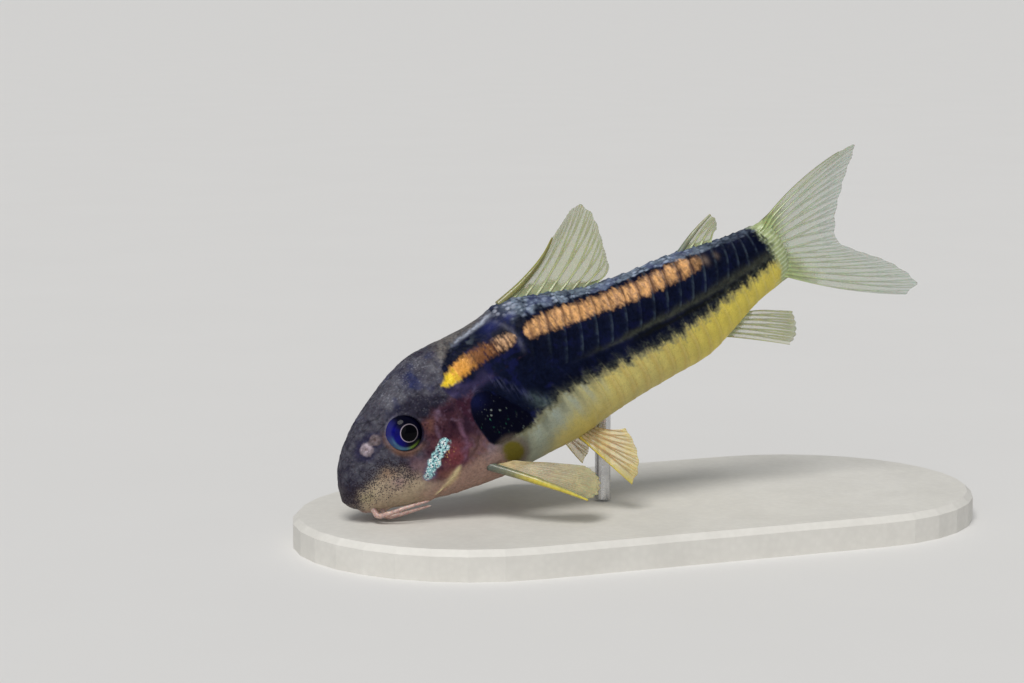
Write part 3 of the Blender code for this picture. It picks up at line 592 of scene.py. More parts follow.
def skin_field():
    """The plain points of one side of the skin and all that its height and colour depend on."""
    places, plate = skin_places()
    seam = seam_angle(places)[:, None]
    low = -math.pi / 2 + (seam + math.pi / 2) * np.linspace(0, 1, RING_BELOW + 1)[None, :]
    high = seam + (math.pi / 2 - seam) * np.linspace(0, 1, RING_ABOVE + 1)[None, 1:]
    angle = np.concatenate([low, high], axis=1)
    start = np.repeat(places[:, None], angle.shape[1], axis=1)
    above, below, armour = (v[:, None] for v in leans(places))
    level = seam_level(places)[:, None]
    crest, _, belly = (v[:, None] for v in body_at(places)[:3])
    x = start.copy()
    for _ in range(6):
        y, z = section_point(x, angle)
        reach = np.where(z > level, (z - level) / (crest - level), (level - z) / (level - belly))
        bow = EDGE_BOW * armour * 4.0 * reach * (1.0 - reach)
        x = np.maximum(start + np.where(z > level, above, below) * (z - level) + bow, NOSE_TIP + 0.005)
    x = x - 0.75 * smooth(50.5, 53.4, start) * ((z + 1.65) / 3.1) ** 2
    closing = unit((start - TAIL_END) / 1.4)
    y = y * (1.0 - 0.30 * smooth(49.0, 53.4, start)) * np.sqrt(unit(1.0 - closing ** 2))
    y[:, 0] = y[:, -1] = 0.0
    q = np.repeat(plate[:, None], angle.shape[1], axis=1)
    points = np.stack([x, y, z], axis=-1)
    normal = surface_normals(points)
    crest_from = np.interp(x, *STRIPE_TOP)
    return {
        "x": x, "z": z, "angle": angle, "level": seam_level(x), "plain": points, "normal": normal,
        "phase_above": scute_phase(q - FIRST_EDGE), "phase_below": scute_phase(q - FIRST_EDGE - 0.5),
        "crest": smooth(0.12, 0.50, z - crest_from) * smooth(19.5, 23.5, x),
        "shoulder": inside_of(x, z, SHOULDER),
        "shield": np.where(x > 22.0, 3.0, -from_route(x, z, SHIELD_EDGE)[0]),
        "slit": from_route(x, z, GILL_SLIT)[0],
        "front": from_route(x, z, GILL_FRONT)[0],
        "ridge": (z - crest_from) / np.maximum(body_at(x)[0] - crest_from, 0.3),
        "nostril": [far_from(points, at_x, at_z) for at_x, at_z, _ in NOSTRILS],
    }


def parts(f, names):
    """The named fields of the skin, in order."""
    return (f[name] for name in names.split())


def sided(f, side):
    """The same fields for the left side (-1) or the right side (1) of the fish."""
    out = dict(f)
    flip = np.array([1.0, side, 1.0])
    out["point"] = f["plain"] * flip
    out["out"] = f["normal"] * flip
    for name, size, seed, octaves in CLOUDS:
        out[name] = cloud(out["point"], size, seed, octaves)
    return out


def socket(points, side):
    """Sinks the skin behind the eye, and lifts a low rim round it."""
    centre, look = eye_frame(side)
    away = points - centre
    along = away @ look
    across = np.linalg.norm(away - along[..., None] * look, axis=-1)
    outer = along > -0.2
    rim = 0.11 * bell(across - EYE_OPENING - 0.22, 0.16) * outer
    sink = 1.1 * smooth(EYE_OPENING + 0.05, EYE_OPENING - 0.12, across) * outer
    return points + (rim - sink)[..., None] * look, np.where(outer, across, 9.0), away


# The two bands: x, lower edge and upper edge.
STRIPE_ONE = (
    (13.25, 14.3, 15.7, 17.0, 18.3, 20.0, 21.95), (6.06, 5.84, 5.90, 6.00, 6.03, 6.00, 5.92),
    (6.34, 6.86, 7.14, 7.32, 7.32, 7.06, 6.78),
)
STRIPE_TWO = (
    (23.3, 24.1, 26.0, 28.2, 30.5, 32.6, 35.5, 37.1, 39.5, 42.1, 43.9),
    (5.57, 5.43, 5.00, 4.48, 3.93, 3.47, 2.76, 2.49, 2.13, 1.83, 1.72),
    (6.46, 6.74, 6.49, 6.01, 5.28, 4.78, 4.17, 3.87, 3.56, 3.20, 2.62),
)
# Lower edge of the pebbled back: x and height.
STRIPE_TOP = (
    (19.0, 24.0, 26.0, 28.2, 30.5, 33.0, 35.5, 38.0, 40.5, 43.0, 52.0),
    (7.3, 7.0, 6.9, 6.3, 5.55, 4.95, 4.55, 4.1, 3.6, 2.95, 1.0),
)
# Upper edge of the yellow belly: x and height.
BELLY_LINE = (
    (10.0, 14.0, 18.0, 19.3, 20.6, 22.2, 24.0, 26.0, 28.0, 30.3, 32.6, 35.0, 37.6, 40.3, 43.2, 46.0, 52.0),
    (
        -1.4, -1.5, -1.55, -1.45, -1.0, -0.65, -0.55, -0.75, -1.10, -1.35, -1.75, -2.1, -2.45, -2.5, -2.35,
        -2.25, -2.15,
    ),
)
# Belly colours along the fish: x and name.
BELLY_TINTS = (
    (14.0, "belly_front"), (22.0, "belly_front"), (28.0, "belly_mid"), (33.0, "belly_mid"),
    (42.0, "belly_rear"), (52.0, "belly_rear"),
)
# Painted mauve highlight over the top of the cheek.
MAUVE_ACROSS = ((11.4, 3.95), (12.1, 3.35), (12.8, 2.7))
# Painted mauve highlight down the cheek.
MAUVE_DOWN = ((11.2, 3.9), (10.9, 3.2), (10.5, 2.2))
# Rear rim of the gill cover.
GILL_RIM = ((13.2, 3.4), (12.95, 2.3), (12.75, 1.4), (12.35, 0.2), (11.7, -0.8), (10.9, -1.5))
# Upper edge of the beige snout patch.
SNOUT_ARCH = (
    (8.2, -1.3), (6.9, 0.2), (6.2, 1.15), (5.6, 1.75), (4.7, 2.15), (3.7, 2.15), (2.3, 1.70), (1.0, 1.15),
    (0.3, 0.2),
)
# Pale rear edge of the plate between the bands.
LOBE_EDGE = ((20.4, 8.85), (21.3, 8.45), (22.05, 7.5), (22.35, 6.9), (22.35, 6.0), (22.2, 5.2), (21.9, 4.3))
# Foot of the pale fan behind the shoulder.
FAN_LINE = ((17.6, 4.3), (18.6, 2.9), (19.8, 1.2), (21.2, -0.4))
# Purple skin above the shoulder plate.
PURPLE_ARC = ((12.2, 5.5), (13.3, 5.15), (14.6, 4.85), (15.9, 4.45), (17.6, 4.7))
# Pale edge of the gill membrane.
GILL_EDGE = ((11.1, -1.2), (10.5, -1.78), (9.9, -2.25), (9.1, -2.72), (8.3, -3.0), (7.5, -3.1))
# Middle of the glittering patch.
PATCH_LINE = ((10.95, 1.75), (10.1, 1.10), (9.2, 0.40), (8.3, -0.30), (7.35, -1.20))
# Two discs in each nostril: size, strength and tint.
NOSTRIL_DISCS = ((0.78, 0.95, (1.0, 1.0, 1.0)), (0.68, 0.85, (0.62, 0.58, 0.54)))

# Colours of the fish and its stand.
TINT = {
    "navy": (0.003, 0.005, 0.018),
    "indigo": (0.006, 0.008, 0.046),
    "plate_black": (0.0006, 0.0008, 0.006),
    "edge": (0.035, 0.050, 0.070),
    "steel": (0.155, 0.198, 0.262),
    # Painted highlight on the knobs of the back.
    "steel_highlight": (0.34, 0.40, 0.52),
    "steel_dark": (0.010, 0.014, 0.032),
    "stripe": (0.56, 0.290, 0.105),
    "stripe_gap": (0.20, 0.100, 0.060),
    "stripe_tip": (0.80, 0.55, 0.020),
    "stripe_orange": (0.55, 0.240, 0.026),
    "stripe_amber": (0.190, 0.078, 0.024),
    "stripe_end": (0.38, 0.215, 0.105),
    "belly_front": (0.285, 0.305, 0.225),
    "belly_mid": (0.57, 0.480, 0.148),
    "belly_rear": (0.70, 0.570, 0.088),
    "fringe": (0.21, 0.200, 0.110),
    "olive": (0.044, 0.047, 0.034),
    "head_dark": (0.030, 0.027, 0.044),
    "head": (0.088, 0.086, 0.106),
    # Pale grains of the head, and painted highlights over its top.
    "pale_grain_and_highlight": (0.20, 0.20, 0.235),
    "navy_blot": (0.016, 0.022, 0.085),
    "snout": (0.43, 0.335, 0.230),
    "speck": (0.022, 0.015, 0.022),
    "cheek": (0.100, 0.040, 0.050),
    "cheek_dark": (0.020, 0.006, 0.016),
    "red": (0.175, 0.040, 0.050),
    "low_cheek": (0.190, 0.110, 0.120),
    # Mauve: painted highlights on the cheek, and pale veins.
    "mauve": (0.150, 0.090, 0.140),
    "purple": (0.044, 0.034, 0.090),
    # Painted highlight on the purple skin.
    "lavender": (0.120, 0.095, 0.175),
    "throat": (0.310, 0.190, 0.150),
    "girdle": (0.200, 0.150, 0.180),
    "gill_edge": (0.76, 0.62, 0.34),
    "nostril": (0.340, 0.275, 0.310),
    "olive_spot": (0.120, 0.098, 0.008),
    "tail_base": (0.36, 0.42, 0.20),
    "eye_rim": (0.180, 0.090, 0.060),
    "lip": (0.36, 0.22, 0.19),
    "violet": (0.085, 0.100, 0.26),
    "seam_shadow": (0.006, 0.007, 0.006),
    # Painted highlight and painted shade of the belly plates.
    "belly_plate_highlight": (0.27, 0.32, 0.29),
    "belly_plate_shade": (0.075, 0.085, 0.062),
    "ochre": (0.48, 0.31, 0.060),
    "belly_edge": (0.66, 0.60, 0.30),
    "cheek_brown": (0.145, 0.062, 0.048),
    "cheek_orange": (0.230, 0.095, 0.070),
    "gill_rim": (0.155, 0.075, 0.125),
    "behind_gill_high": (0.045, 0.014, 0.028),
    "behind_gill_low": (0.150, 0.080, 0.080),
    "behind_gill_red": (0.210, 0.095, 0.065),
    "snout_brown": (0.235, 0.135, 0.085),
    "snout_pink": (0.290, 0.185, 0.190),
    "snout_yellow": (0.36, 0.31, 0.16),
    "snout_tip": (0.075, 0.062, 0.070),
    "nostril_hollow": (0.024, 0.022, 0.055),
    "nostril_hole": (0.105, 0.060, 0.050),
    "haze": (0.050, 0.055, 0.045),
    "stripe_brown": (0.122, 0.047, 0.018),
    "stripe_dull": (0.30, 0.17, 0.09),
    "stripe_faint": (0.22, 0.16, 0.12),
    "lobe_rim": (0.085, 0.088, 0.130),
    "lobe_blue": (0.014, 0.020, 0.105),
    "lobe_green": (0.050, 0.062, 0.080),
    "nape": (0.085, 0.100, 0.15),
    "nape_knob": (0.52, 0.55, 0.68),
    "nape_blue": (0.016, 0.022, 0.120),
    # Painted highlight on the ridge of the head shield.
    "shield_ridge_highlight": (0.40, 0.43, 0.51),
    "speck_green": (0.04, 0.28, 0.16),
    "speck_silver": (0.50, 0.56, 0.52),
    "speck_grey": (0.13, 0.155, 0.14),
    "fan": (0.040, 0.045, 0.090),
    "fan_green": (0.085, 0.120, 0.120),
    "spot_rim": (0.115, 0.088, 0.072),
    "brow_shadow": (0.009, 0.008, 0.019),
    "shield_border": (0.17, 0.155, 0.135),
    "cheek_top": (0.085, 0.045, 0.075),
    "girdle_pink": (0.185, 0.115, 0.105),
    "maroon": (0.020, 0.009, 0.020),
    "gill_orange": (0.30, 0.155, 0.090),
    "patch_halo": (0.150, 0.125, 0.230),
    "gold_fleck": (0.72, 0.42, 0.12),
    "eye_gleam": (0.15, 0.14, 0.20),
    # Painted shade in the eye socket.
    "eye_socket_shade": (0.012, 0.012, 0.028),
    "mouth": (0.08, 0.025, 0.03),
    "tail_ray": (0.52, 0.58, 0.36),
    "glitter_teal": (0.10, 0.34, 0.40),
    "glitter_pale": (0.52, 0.86, 0.86),
    "glitter_white": (0.95, 1.0, 1.0),
    "glitter_dark": (0.04, 0.07, 0.12),
    "glitter_gap": (0.06, 0.12, 0.18),
    "iris_black": (0.001, 0.001, 0.007),
    "iris_blue": (0.004, 0.004, 0.135),
    "iris_teal": (0.09, 0.21, 0.31),
    "iris_green": (0.22, 0.34, 0.06),
    "iris_rim": (0.03, 0.03, 0.14),
    "pupil": (0.0004, 0.0004, 0.0015),
    "pupil_ring": (0.62, 0.52, 0.60),
    "eye_back": (0.01, 0.01, 0.02),
    "barbel_dark": (0.34, 0.20, 0.18),
    "barbel_pale": (0.56, 0.40, 0.34),
    "resin": (0.68, 0.66, 0.61),
    "resin_pale": (0.74, 0.72, 0.67),
    "resin_speck": (0.42, 0.40, 0.37),
    "rod": (0.52, 0.52, 0.53),
    "rod_pale": (0.66, 0.66, 0.67),
    "floor": (0.715, 0.705, 0.69),
    "floor_pale": (0.725, 0.715, 0.70),
    "studio": (0.84, 0.87, 0.91, 1.0),
}


def wander(x, z, point, size, far, seed):
    """The same place moved about a little, so that marks drawn there get natural edges."""
    return x + far * (cloud(point, size, seed, 2) - 0.5), z + far * (cloud(point, size, seed + 5, 2) - 0.5)


def flank_colour(f):
    """The dark flank: navy plates with pale rear edges, and a steel blue pebbled back with painted highlights
    on its knobs.
    """
    x, z, point, fine, mottle, broad = parts(f, "x z point fine mottle broad")
    colour = mix(np.array(TINT["navy"]) * 0.5, np.array(TINT["navy"]) * 1.5, 0.6 * broad + 0.5 * (fine - 0.3))
    colour = mix(colour, TINT["indigo"], smooth(0.52, 0.85, mottle) * (0.35 + 0.5 * smooth(30.0, 22.0, x)))
    edge_above = bell(0.90 - f["phase_above"], 0.115) * (z > f["level"] + 0.10)
    past = smooth(23.0, 28.0, x) * 0.9 + 0.06 * (x > 22.5)
    broken = smooth(0.15, 0.75, cloud(point, (0.6, 0.6, 0.7), 37, 2))
    colour = mix(colour, TINT["edge"], edge_above * past * (0.15 + 0.75 * broken) * (0.55 + 0.45 * fine))
    # The pebbled back, dark just above the band.
    ridge = f["ridge"] + 0.40 * (mottle - 0.5)
    knob, own = flecks(point, (0.60, 0.40, 0.40), 17)
    bead, bead_own = flecks(point, 0.30, 18)
    lit = smooth(0.02, 0.40, ridge) * smooth(22.3, 24.5, x + 0.4 * (mottle - 0.5))
    lit = lit * (1.0 - 0.70 * smooth(40.0, 48.5, x))
    tone = (
        0.30 + 0.55 * smooth(0.80, 0.20, knob) * smooth(0.05, 0.6, own) + 0.35 * (fine - 0.5)
        + 0.45 * (mottle - 0.5)
    )
    colour = mix(colour, mix(TINT["steel_dark"], TINT["steel"], tone * 1.6), lit * 0.95)
    # Painted highlights on the tops of the knobs and beads of the back.
    shine = (
        smooth(0.60, 0.20, knob) * smooth(0.45, 0.80, own)
        + 0.7 * smooth(0.5, 0.2, bead) * smooth(0.70, 0.95, bead_own)
    )
    colour = mix(colour, TINT["steel_highlight"], lit * unit(shine) * 0.75 * (1.0 - 0.5 * smooth(44.0, 50.0, x)))
    violet = smooth(0.55, 0.8, cloud(point, 1.3, 39, 2)) * lit
    colour = mix(colour, TINT["violet"], violet * 0.28)
    return colour


def seam_colour(f, colour):
    """The olive band that widens along the seam towards the tail."""
    x, z, fine, mottle = parts(f, "x z fine mottle")
    high = 0.32 + 0.030 * np.clip(x - 30.0, 0.0, 22.0) / 2.0
    off = z - f["level"] + 0.25 * (mottle - 0.5)
    band = np.exp(-(np.maximum(off, 0.0) / (high * 0.9)) ** 2 - (np.minimum(off, 0.0) / (high * 0.6)) ** 2)
    band = band * smooth(25.0, 34.0, x)
    colour = mix(colour, np.array(TINT["olive"]) * 1.1, band * (0.50 + 0.45 * fine))
    under = bell(off + 0.62, 0.26) * smooth(30.0, 36.0, x)
    return mix(colour, TINT["seam_shadow"], under * 0.85)


def belly_colour(f):
    """The yellow belly and where it lies: how much it covers, and how far below its edge each point is."""
    x, z, fine, mottle, streak = parts(f, "x z fine mottle streak")
    tooth = (0.70 * np.abs(f["phase_below"] - 0.4) - 0.24) * smooth(18.0, 24.0, x)
    ragged = 0.42 * (streak - 0.5) + 0.40 * (mottle - 0.5) + 0.40 * (fine - 0.5)
    border = np.interp(x, *BELLY_LINE) + tooth + ragged
    deep = border - z
    cover = smooth(-0.42, 0.36, deep)
    places, tints = [at for at, _ in BELLY_TINTS], np.array([TINT[name] for _, name in BELLY_TINTS])
    belly = np.stack([np.interp(x, places, tints[:, k]) for k in range(3)], axis=-1)
    low = smooth(1.6, 4.0, deep)
    gold = np.array(TINT["belly_mid"]) * np.array((0.92, 0.86, 0.62))
    belly = mix(belly, gold, low * smooth(30.0, 24.0, x) * smooth(18.0, 22.0, x) * 0.85)
    # Each belly plate gets a painted highlight on its front half and painted shade on its rear half.
    wave = np.sin(2 * np.pi * (f["phase_below"] + 0.12 * (mottle - 0.5)))
    belly = belly * (0.86 + 0.20 * mottle + 0.05 * wave)[..., None]
    plate_highlight = smooth(0.1, 0.9, wave) * smooth(3.0, 0.6, deep) * smooth(30.0, 25.0, x) * smooth(18.0, 20.0, x)
    belly = mix(belly, TINT["belly_plate_highlight"], plate_highlight * (0.35 + 0.4 * fine))
    shade = smooth(0.1, -0.9, wave) * smooth(2.2, 0.4, deep) * smooth(29.0, 24.0, x)
    belly = mix(belly, TINT["belly_plate_shade"], shade * 0.55)
    ochre = smooth(0.45, 0.80, 0.5 + 0.35 * np.sin(2 * np.pi * f["phase_below"] + 2.4) + 0.5 * (mottle - 0.5))
    belly = mix(belly, TINT["ochre"], ochre * 0.34 * smooth(25.0, 30.0, x) * smooth(46.0, 40.0, x))
    edge = bell(0.92 - f["phase_below"], 0.09)
    belly = mix(belly, TINT["belly_edge"], edge * 0.16 * smooth(24.0, 28.0, x))
    fringe = smooth(0.95, 0.0, deep + 0.3 * (fine - 0.5)) * (0.85 - 0.30 * smooth(40.0, 48.0, x))
    belly = mix(belly, TINT["fringe"], fringe)
    return belly, cover, deep


def cheek_colour(f):
    """Colour of the cheek and gill cover, and how much they cover."""
    x, z, point, mottle = parts(f, "x z point mottle")
    wx, wz = wander(x, z, point, 0.8, 0.55, 145)
    cover = smooth(7.9, 9.6, wx - 0.25 * (wz - 2.0)) * smooth(5.0, 3.9, wz - 0.06 * (wx - 10.0))
    small = cloud(point, 0.42, 73, 2)
    colour = mix(TINT["cheek_dark"], TINT["cheek"], 0.62 + 0.75 * (mottle - 0.5) + 0.5 * (small - 0.5))
    colour = mix(colour, TINT["cheek_brown"], unit(blot(wx, wz, 10.2, 3.7, 0.55, 0.8)) * 0.85)
    colour = mix(
        colour, TINT["red"], unit(1.2 * blot(wx, wz, 11.1, -0.1, 1.15, 1.4)) * (0.65 + 0.35 * mottle),
    )
    colour = mix(colour, TINT["cheek_orange"], blot(wx, wz, 9.6, -1.7, 0.8, 0.6) * 0.8)
    dark = unit(
        blot(wx, wz, 12.1, 2.6, 0.7, 1.1) + 0.9 * blot(wx, wz, 12.2, 3.95, 1.1, 0.35)
            + blot(wx, wz, 13.7, 1.6, 0.6, 1.1),
    )
    colour = mix(colour, TINT["cheek_dark"], dark * (0.55 + 0.6 * (small - 0.2)))
    bit, own = flecks(point, 0.26, 75)
    colour = mix(
        colour, TINT["cheek_dark"],
        smooth(0.60, 0.25, bit) * smooth(0.55, 0.75, own) * smooth(-1.2, 0.8, wz) * 0.55,
    )
    # Painted mauve highlights, broken up as they run.
    light = blot(wx, wz, 11.4, 4.1, 0.40, 0.42)
    across, _ = from_route(wx, wz, MAUVE_ACROSS)
    down, _ = from_route(wx, wz, MAUVE_DOWN)
    light = light + (bell(across, 0.13) * 0.65 + bell(down, 0.17) * 0.6) * smooth(0.25, 0.65, small)
    colour = mix(colour, TINT["mauve"], unit(light) * 0.8)
    vein = np.abs(cloud(point, 0.95, 71, 2) - 0.5)
    colour = mix(
        colour, TINT["mauve"], bell(vein, 0.030) * 0.35 * smooth(-1.0, 0.6, z) * smooth(0.3, 0.7, small),
    )
    # The rear rim of the gill cover and the skin behind it.
    rim, place = from_route(wx, wz, GILL_RIM)
    colour = mix(
        colour, TINT["gill_rim"], bell(rim + 0.05, 0.30) * smooth(0.0, 0.2, place) * (0.35 + 0.5 * small),
    )
    behind = smooth(0.10, 0.55, rim)
    after = mix(
        TINT["behind_gill_high"], TINT["behind_gill_low"], smooth(2.0, -0.9, wz + 0.8 * (small - 0.5)),
    )
    after = mix(after, TINT["behind_gill_red"], smooth(-0.9, -2.0, wz) * 0.85)
    after = mix(after, TINT["mauve"], smooth(0.55, 0.85, small) * 0.35)
    colour = mix(colour, after, behind * 0.92)
    return colour, cover, rim


def snout_colour(f, head):
    """The beige patch low on the snout, dusted with dark dots, densest along its upper edge."""
    x, z, point, mottle = parts(f, "x z point mottle")
    wx, wz = wander(x, z, point, 0.9, 0.5, 151)
    inside, _ = from_route(wx, wz, SNOUT_ARCH)
    low = smooth(1.5, -1.4, wz)
    tone = mix(np.array(TINT["snout"]) * 0.72, TINT["snout"], 0.25 + 0.75 * low + 0.5 * (mottle - 0.5))
    tone = mix(tone, TINT["snout_brown"], unit(blot(wx, wz, 4.6, 1.35, 1.0, 0.45)) * 0.7)
    tone = mix(tone, TINT["snout_pink"], unit(blot(wx, wz, 5.2, 0.1, 0.9, 0.7)) * 0.75)
    tone = mix(tone, TINT["snout_yellow"], blot(wx, wz, 1.6, 0.0, 0.9, 0.5) * 0.5)
    head = mix(head, tone, smooth(-0.25, 1.1, inside) * smooth(9.0, 6.2, wx + 0.3 * wz))
    head = mix(head, TINT["throat"], smooth(-1.2, -2.6, wz) * smooth(5.2, 7.4, wx) * 0.8)
    brown = smooth(1.2, 0.3, wx + 0.20 * wz)
    head = mix(head, TINT["snout_tip"], brown * 0.75)
    density = (
        1.2 * bell(inside - 0.10, np.where(inside < 0.1, 0.55, 0.60))
        + 0.42 * smooth(0.0, 0.6, inside) * smooth(-1.7, -0.3, z)
    )
    density = density * smooth(7.2, 6.0, wx) * smooth(-2.0, -0.6, z)
    density = density + 0.35 * brown * smooth(0.3, 0.7, mottle)
    return head, unit(density)


def nostril_colour(f, head):
    """Two pale fuzzy openings in a dark hollow."""
    mottle = f["mottle"]
    first, second = f["nostril"]
    small = cloud(f["point"], 0.30, 77, 2)
    hollow = np.minimum(first / 1.55, second / 1.40) + 0.35 * (mottle - 0.5)
    head = mix(head, TINT["nostril_hollow"], smooth(1.0, 0.42, hollow) * 0.85)
    pale = np.array(TINT["nostril"])
    for far, (size, strength, tint) in zip(f["nostril"], NOSTRIL_DISCS):
        disc = mix(pale * np.array(tint) * 0.62, pale * np.array(tint) * 1.12, smooth(0.25, 0.75, small))
        head = mix(head, disc, smooth(size * 1.05, size * 0.60, far + 0.22 * (small - 0.5)) * strength)
        head = mix(
            head, TINT["nostril_hole"], smooth(size * 0.26, size * 0.06, far + 0.05 * (small - 0.5)) * 0.50,
        )
    return head


def stripe(f, xs, low, high, seed, fray):
    """A band between two curves, with streaky edges and rounded ends. Returns how much it covers."""
    x, z, point = f["x"], f["z"], f["point"]
    bottom, top = np.interp(x, xs, low), np.interp(x, xs, high)
    streak = cloud(point, (0.22, 0.8, 1.2), seed, 2) - 0.5
    grain = cloud(point, 0.25, seed + 5, 2) - 0.5
    middle, half = (bottom + top) / 2, (top - bottom) / 2
    end = unit(np.maximum((xs[0] + 0.5 - x) / 0.7, (x - xs[-1] + 0.5) / 0.9))
    half = half * np.sqrt(1.0 - end ** 2)
    return smooth(0.34, -0.26, np.abs(z - middle) - half - fray * (0.8 * streak + 0.7 * grain)) * (end < 1.0)


def blot(x, z, at_x, at_z, wide, high):
    """A soft oval spot over the side of the fish."""
    return np.exp(-((x - at_x) / wide) ** 2 - ((z - at_z) / high) ** 2)


def bands_colour(f, colour):
    """The two gold bands. Also how much the first covers, and how much gold there is."""
    x, z, point, fine, mottle, streak = parts(f, "x z point fine mottle streak")
    one = stripe(f, *STRIPE_ONE, 41, 0.32)
    two = stripe(f, *STRIPE_TWO, 45, 0.38)
    place = x + 0.9 * (streak - 0.5) + 0.5 * (fine - 0.5)
    first = mix(TINT["stripe_tip"], TINT["stripe_orange"], smooth(14.3, 15.6, place + 0.35 * (z - 6.2)))
    first = mix(first, TINT["stripe_amber"], smooth(16.2, 17.6, place))
    first = mix(first, TINT["stripe_brown"], smooth(17.0, 18.4, place) * 0.8)
    first = mix(first, TINT["stripe_end"], smooth(19.5, 20.6, place))
    first = first * (0.72 + 0.30 * fine + 0.25 * streak)[..., None]
    dark_streaks = smooth(0.50, 0.25, streak) * smooth(16.0, 17.5, x) * 0.62
    colour = mix(colour, first, one * (1 - dark_streaks))
    halves = (f["phase_above"] * np.where(x < 36.0, 2.0, 1.0) + 0.16 * (mottle - 0.5)) % 1.0
    gap = bell(np.abs(halves - 0.5) - 0.5, 0.17) * (0.45 + 0.55 * smooth(0.2, 0.7, cloud(point, 1.1, 47, 2)))
    second = np.array(TINT["stripe"]) * (0.62 + 0.46 * fine + 0.34 * (streak - 0.3))[..., None]
    second = mix(second, TINT["stripe_dull"], smooth(0.60, 0.85, cloud(point, 0.30, 48, 2)) * 0.6)
    second = mix(second, TINT["stripe_gap"], gap * 0.80)
    fading = 1.0 - 0.55 * smooth(42.3, 43.6, x)
    dirty = smooth(0.40, 0.16, streak) * 0.35
    colour = mix(colour, second, two * (1 - dirty) * (1 - 0.75 * gap * smooth(35.5, 40.0, x)) * fading)
    faint = blot(x, z, 44.3, 2.0, 0.35, 0.45) + 0.7 * blot(x, z, 45.6, 1.75, 0.3, 0.35)
    colour = mix(colour, TINT["stripe_faint"], unit(faint) * 0.55)
    gold = unit(one + two) * (1 - 0.5 * gap * (x > 23.0))
    return colour, one, gold


def nape_colour(f, colour, one):
    """The plate between the bands: a pale rear edge, deep blue above, whitish knobs at the nape, and a
    painted highlight along the top of the head shield's border.
    """
    x, z, point, fine, mottle, streak = parts(f, "x z point fine mottle streak")
    lobe, lobe_place = from_route(x, z, LOBE_EDGE)
    rim = bell(lobe + 0.10 * (streak - 0.5), 0.26) * smooth(1.0, 0.7, lobe_place)
    colour = mix(colour, TINT["lobe_rim"], rim * (0.40 + 0.45 * fine) * (1 - 0.8 * one))
    colour = mix(colour, TINT["lobe_blue"], blot(x, z, 20.9, 8.1, 1.2, 0.45) * 0.75 * (1 - one))
    greenish = smooth(0.45, 0.75, cloud(point, 0.7, 49, 2)) * blot(x, z, 17.7, 8.1, 1.1, 0.45)
    colour = mix(colour, TINT["lobe_green"], greenish * (1 - one))
    nape = blot(x, z, 23.2, 8.75, 1.1, 0.45)
    bead, bead_own = flecks(point, 0.55, 19)
    colour = mix(colour, TINT["nape"], nape * 0.5)
    colour = mix(
        colour, TINT["nape_knob"], nape * smooth(0.62, 0.25, bead) * smooth(0.15, 0.55, bead_own) * 0.9,
    )
    colour = mix(colour, TINT["nape_blue"], blot(x, z, 22.9, 8.0, 0.55, 0.30) * 0.8)
    # Painted highlight along the ridge at the top of the head shield's border.
    ridge_highlight = bell(f["shield"] - 0.10, 0.15) * smooth(13.8, 15.0, x) * smooth(22.4, 21.0, x) * (z > 6.6)
    colour = mix(
        colour, TINT["shield_ridge_highlight"],
        ridge_highlight * (0.45 + 0.60 * fine) * smooth(15.0, 19.0, x + 2.0 * (mottle - 0.5)),
    )
    return colour


def shoulder_colour(f, colour):
    """The dark plate of the shoulder, with a few green and silver specks. Also where it and they lie."""
    x, z, point, fine, streak = parts(f, "x z point fine streak")
    dark = smooth(-0.10, 0.20, f["shoulder"] + 0.25 * (fine - 0.5))
    colour = mix(colour, TINT["plate_black"], dark * 0.94)
    colour = mix(colour, TINT["indigo"], dark * blot(x, z, 15.2, 3.4, 0.9, 0.8) * 0.8)
    spot, spot_own = flecks(point, 0.15, 51)
    area = unit(1.25 * blot(x, z, 15.9, 1.1, 1.3, 1.2))
    glint = smooth(0.36, 0.12, spot) * smooth(0.74 - 0.12 * area, 0.80 - 0.12 * area, spot_own) * area * dark
    colour = mix(
        colour,
        mix(TINT["speck_green"], TINT["speck_silver"], smooth(0.9, 1.7, z + 2.0 * (spot_own - 0.8))),
        glint * 0.65,
    )
    grey_area = unit(1.2 * blot(x, z, 18.0, -0.6, 1.7, 0.9))
    dusty = smooth(0.42, 0.15, spot) * smooth(0.30, 0.20, spot_own) * grey_area
    colour = mix(colour, TINT["speck_grey"], dusty * 0.75)
    # Fan of pale streaks behind the shoulder plate.
    fan, fan_place = from_route(x, z, FAN_LINE)
    colour = mix(colour, TINT["fan"], bell(fan - 0.15, 0.42) * smooth(0.35, 0.8, streak) * 0.8 * (1 - dark))
    colour = mix(
        colour, TINT["fan_green"],
        bell(fan - 0.1, 0.55) * smooth(0.55, 0.95, fan_place) * (0.2 + 0.6 * fine) * (1 - dark),
    )
    return colour, dark, glint


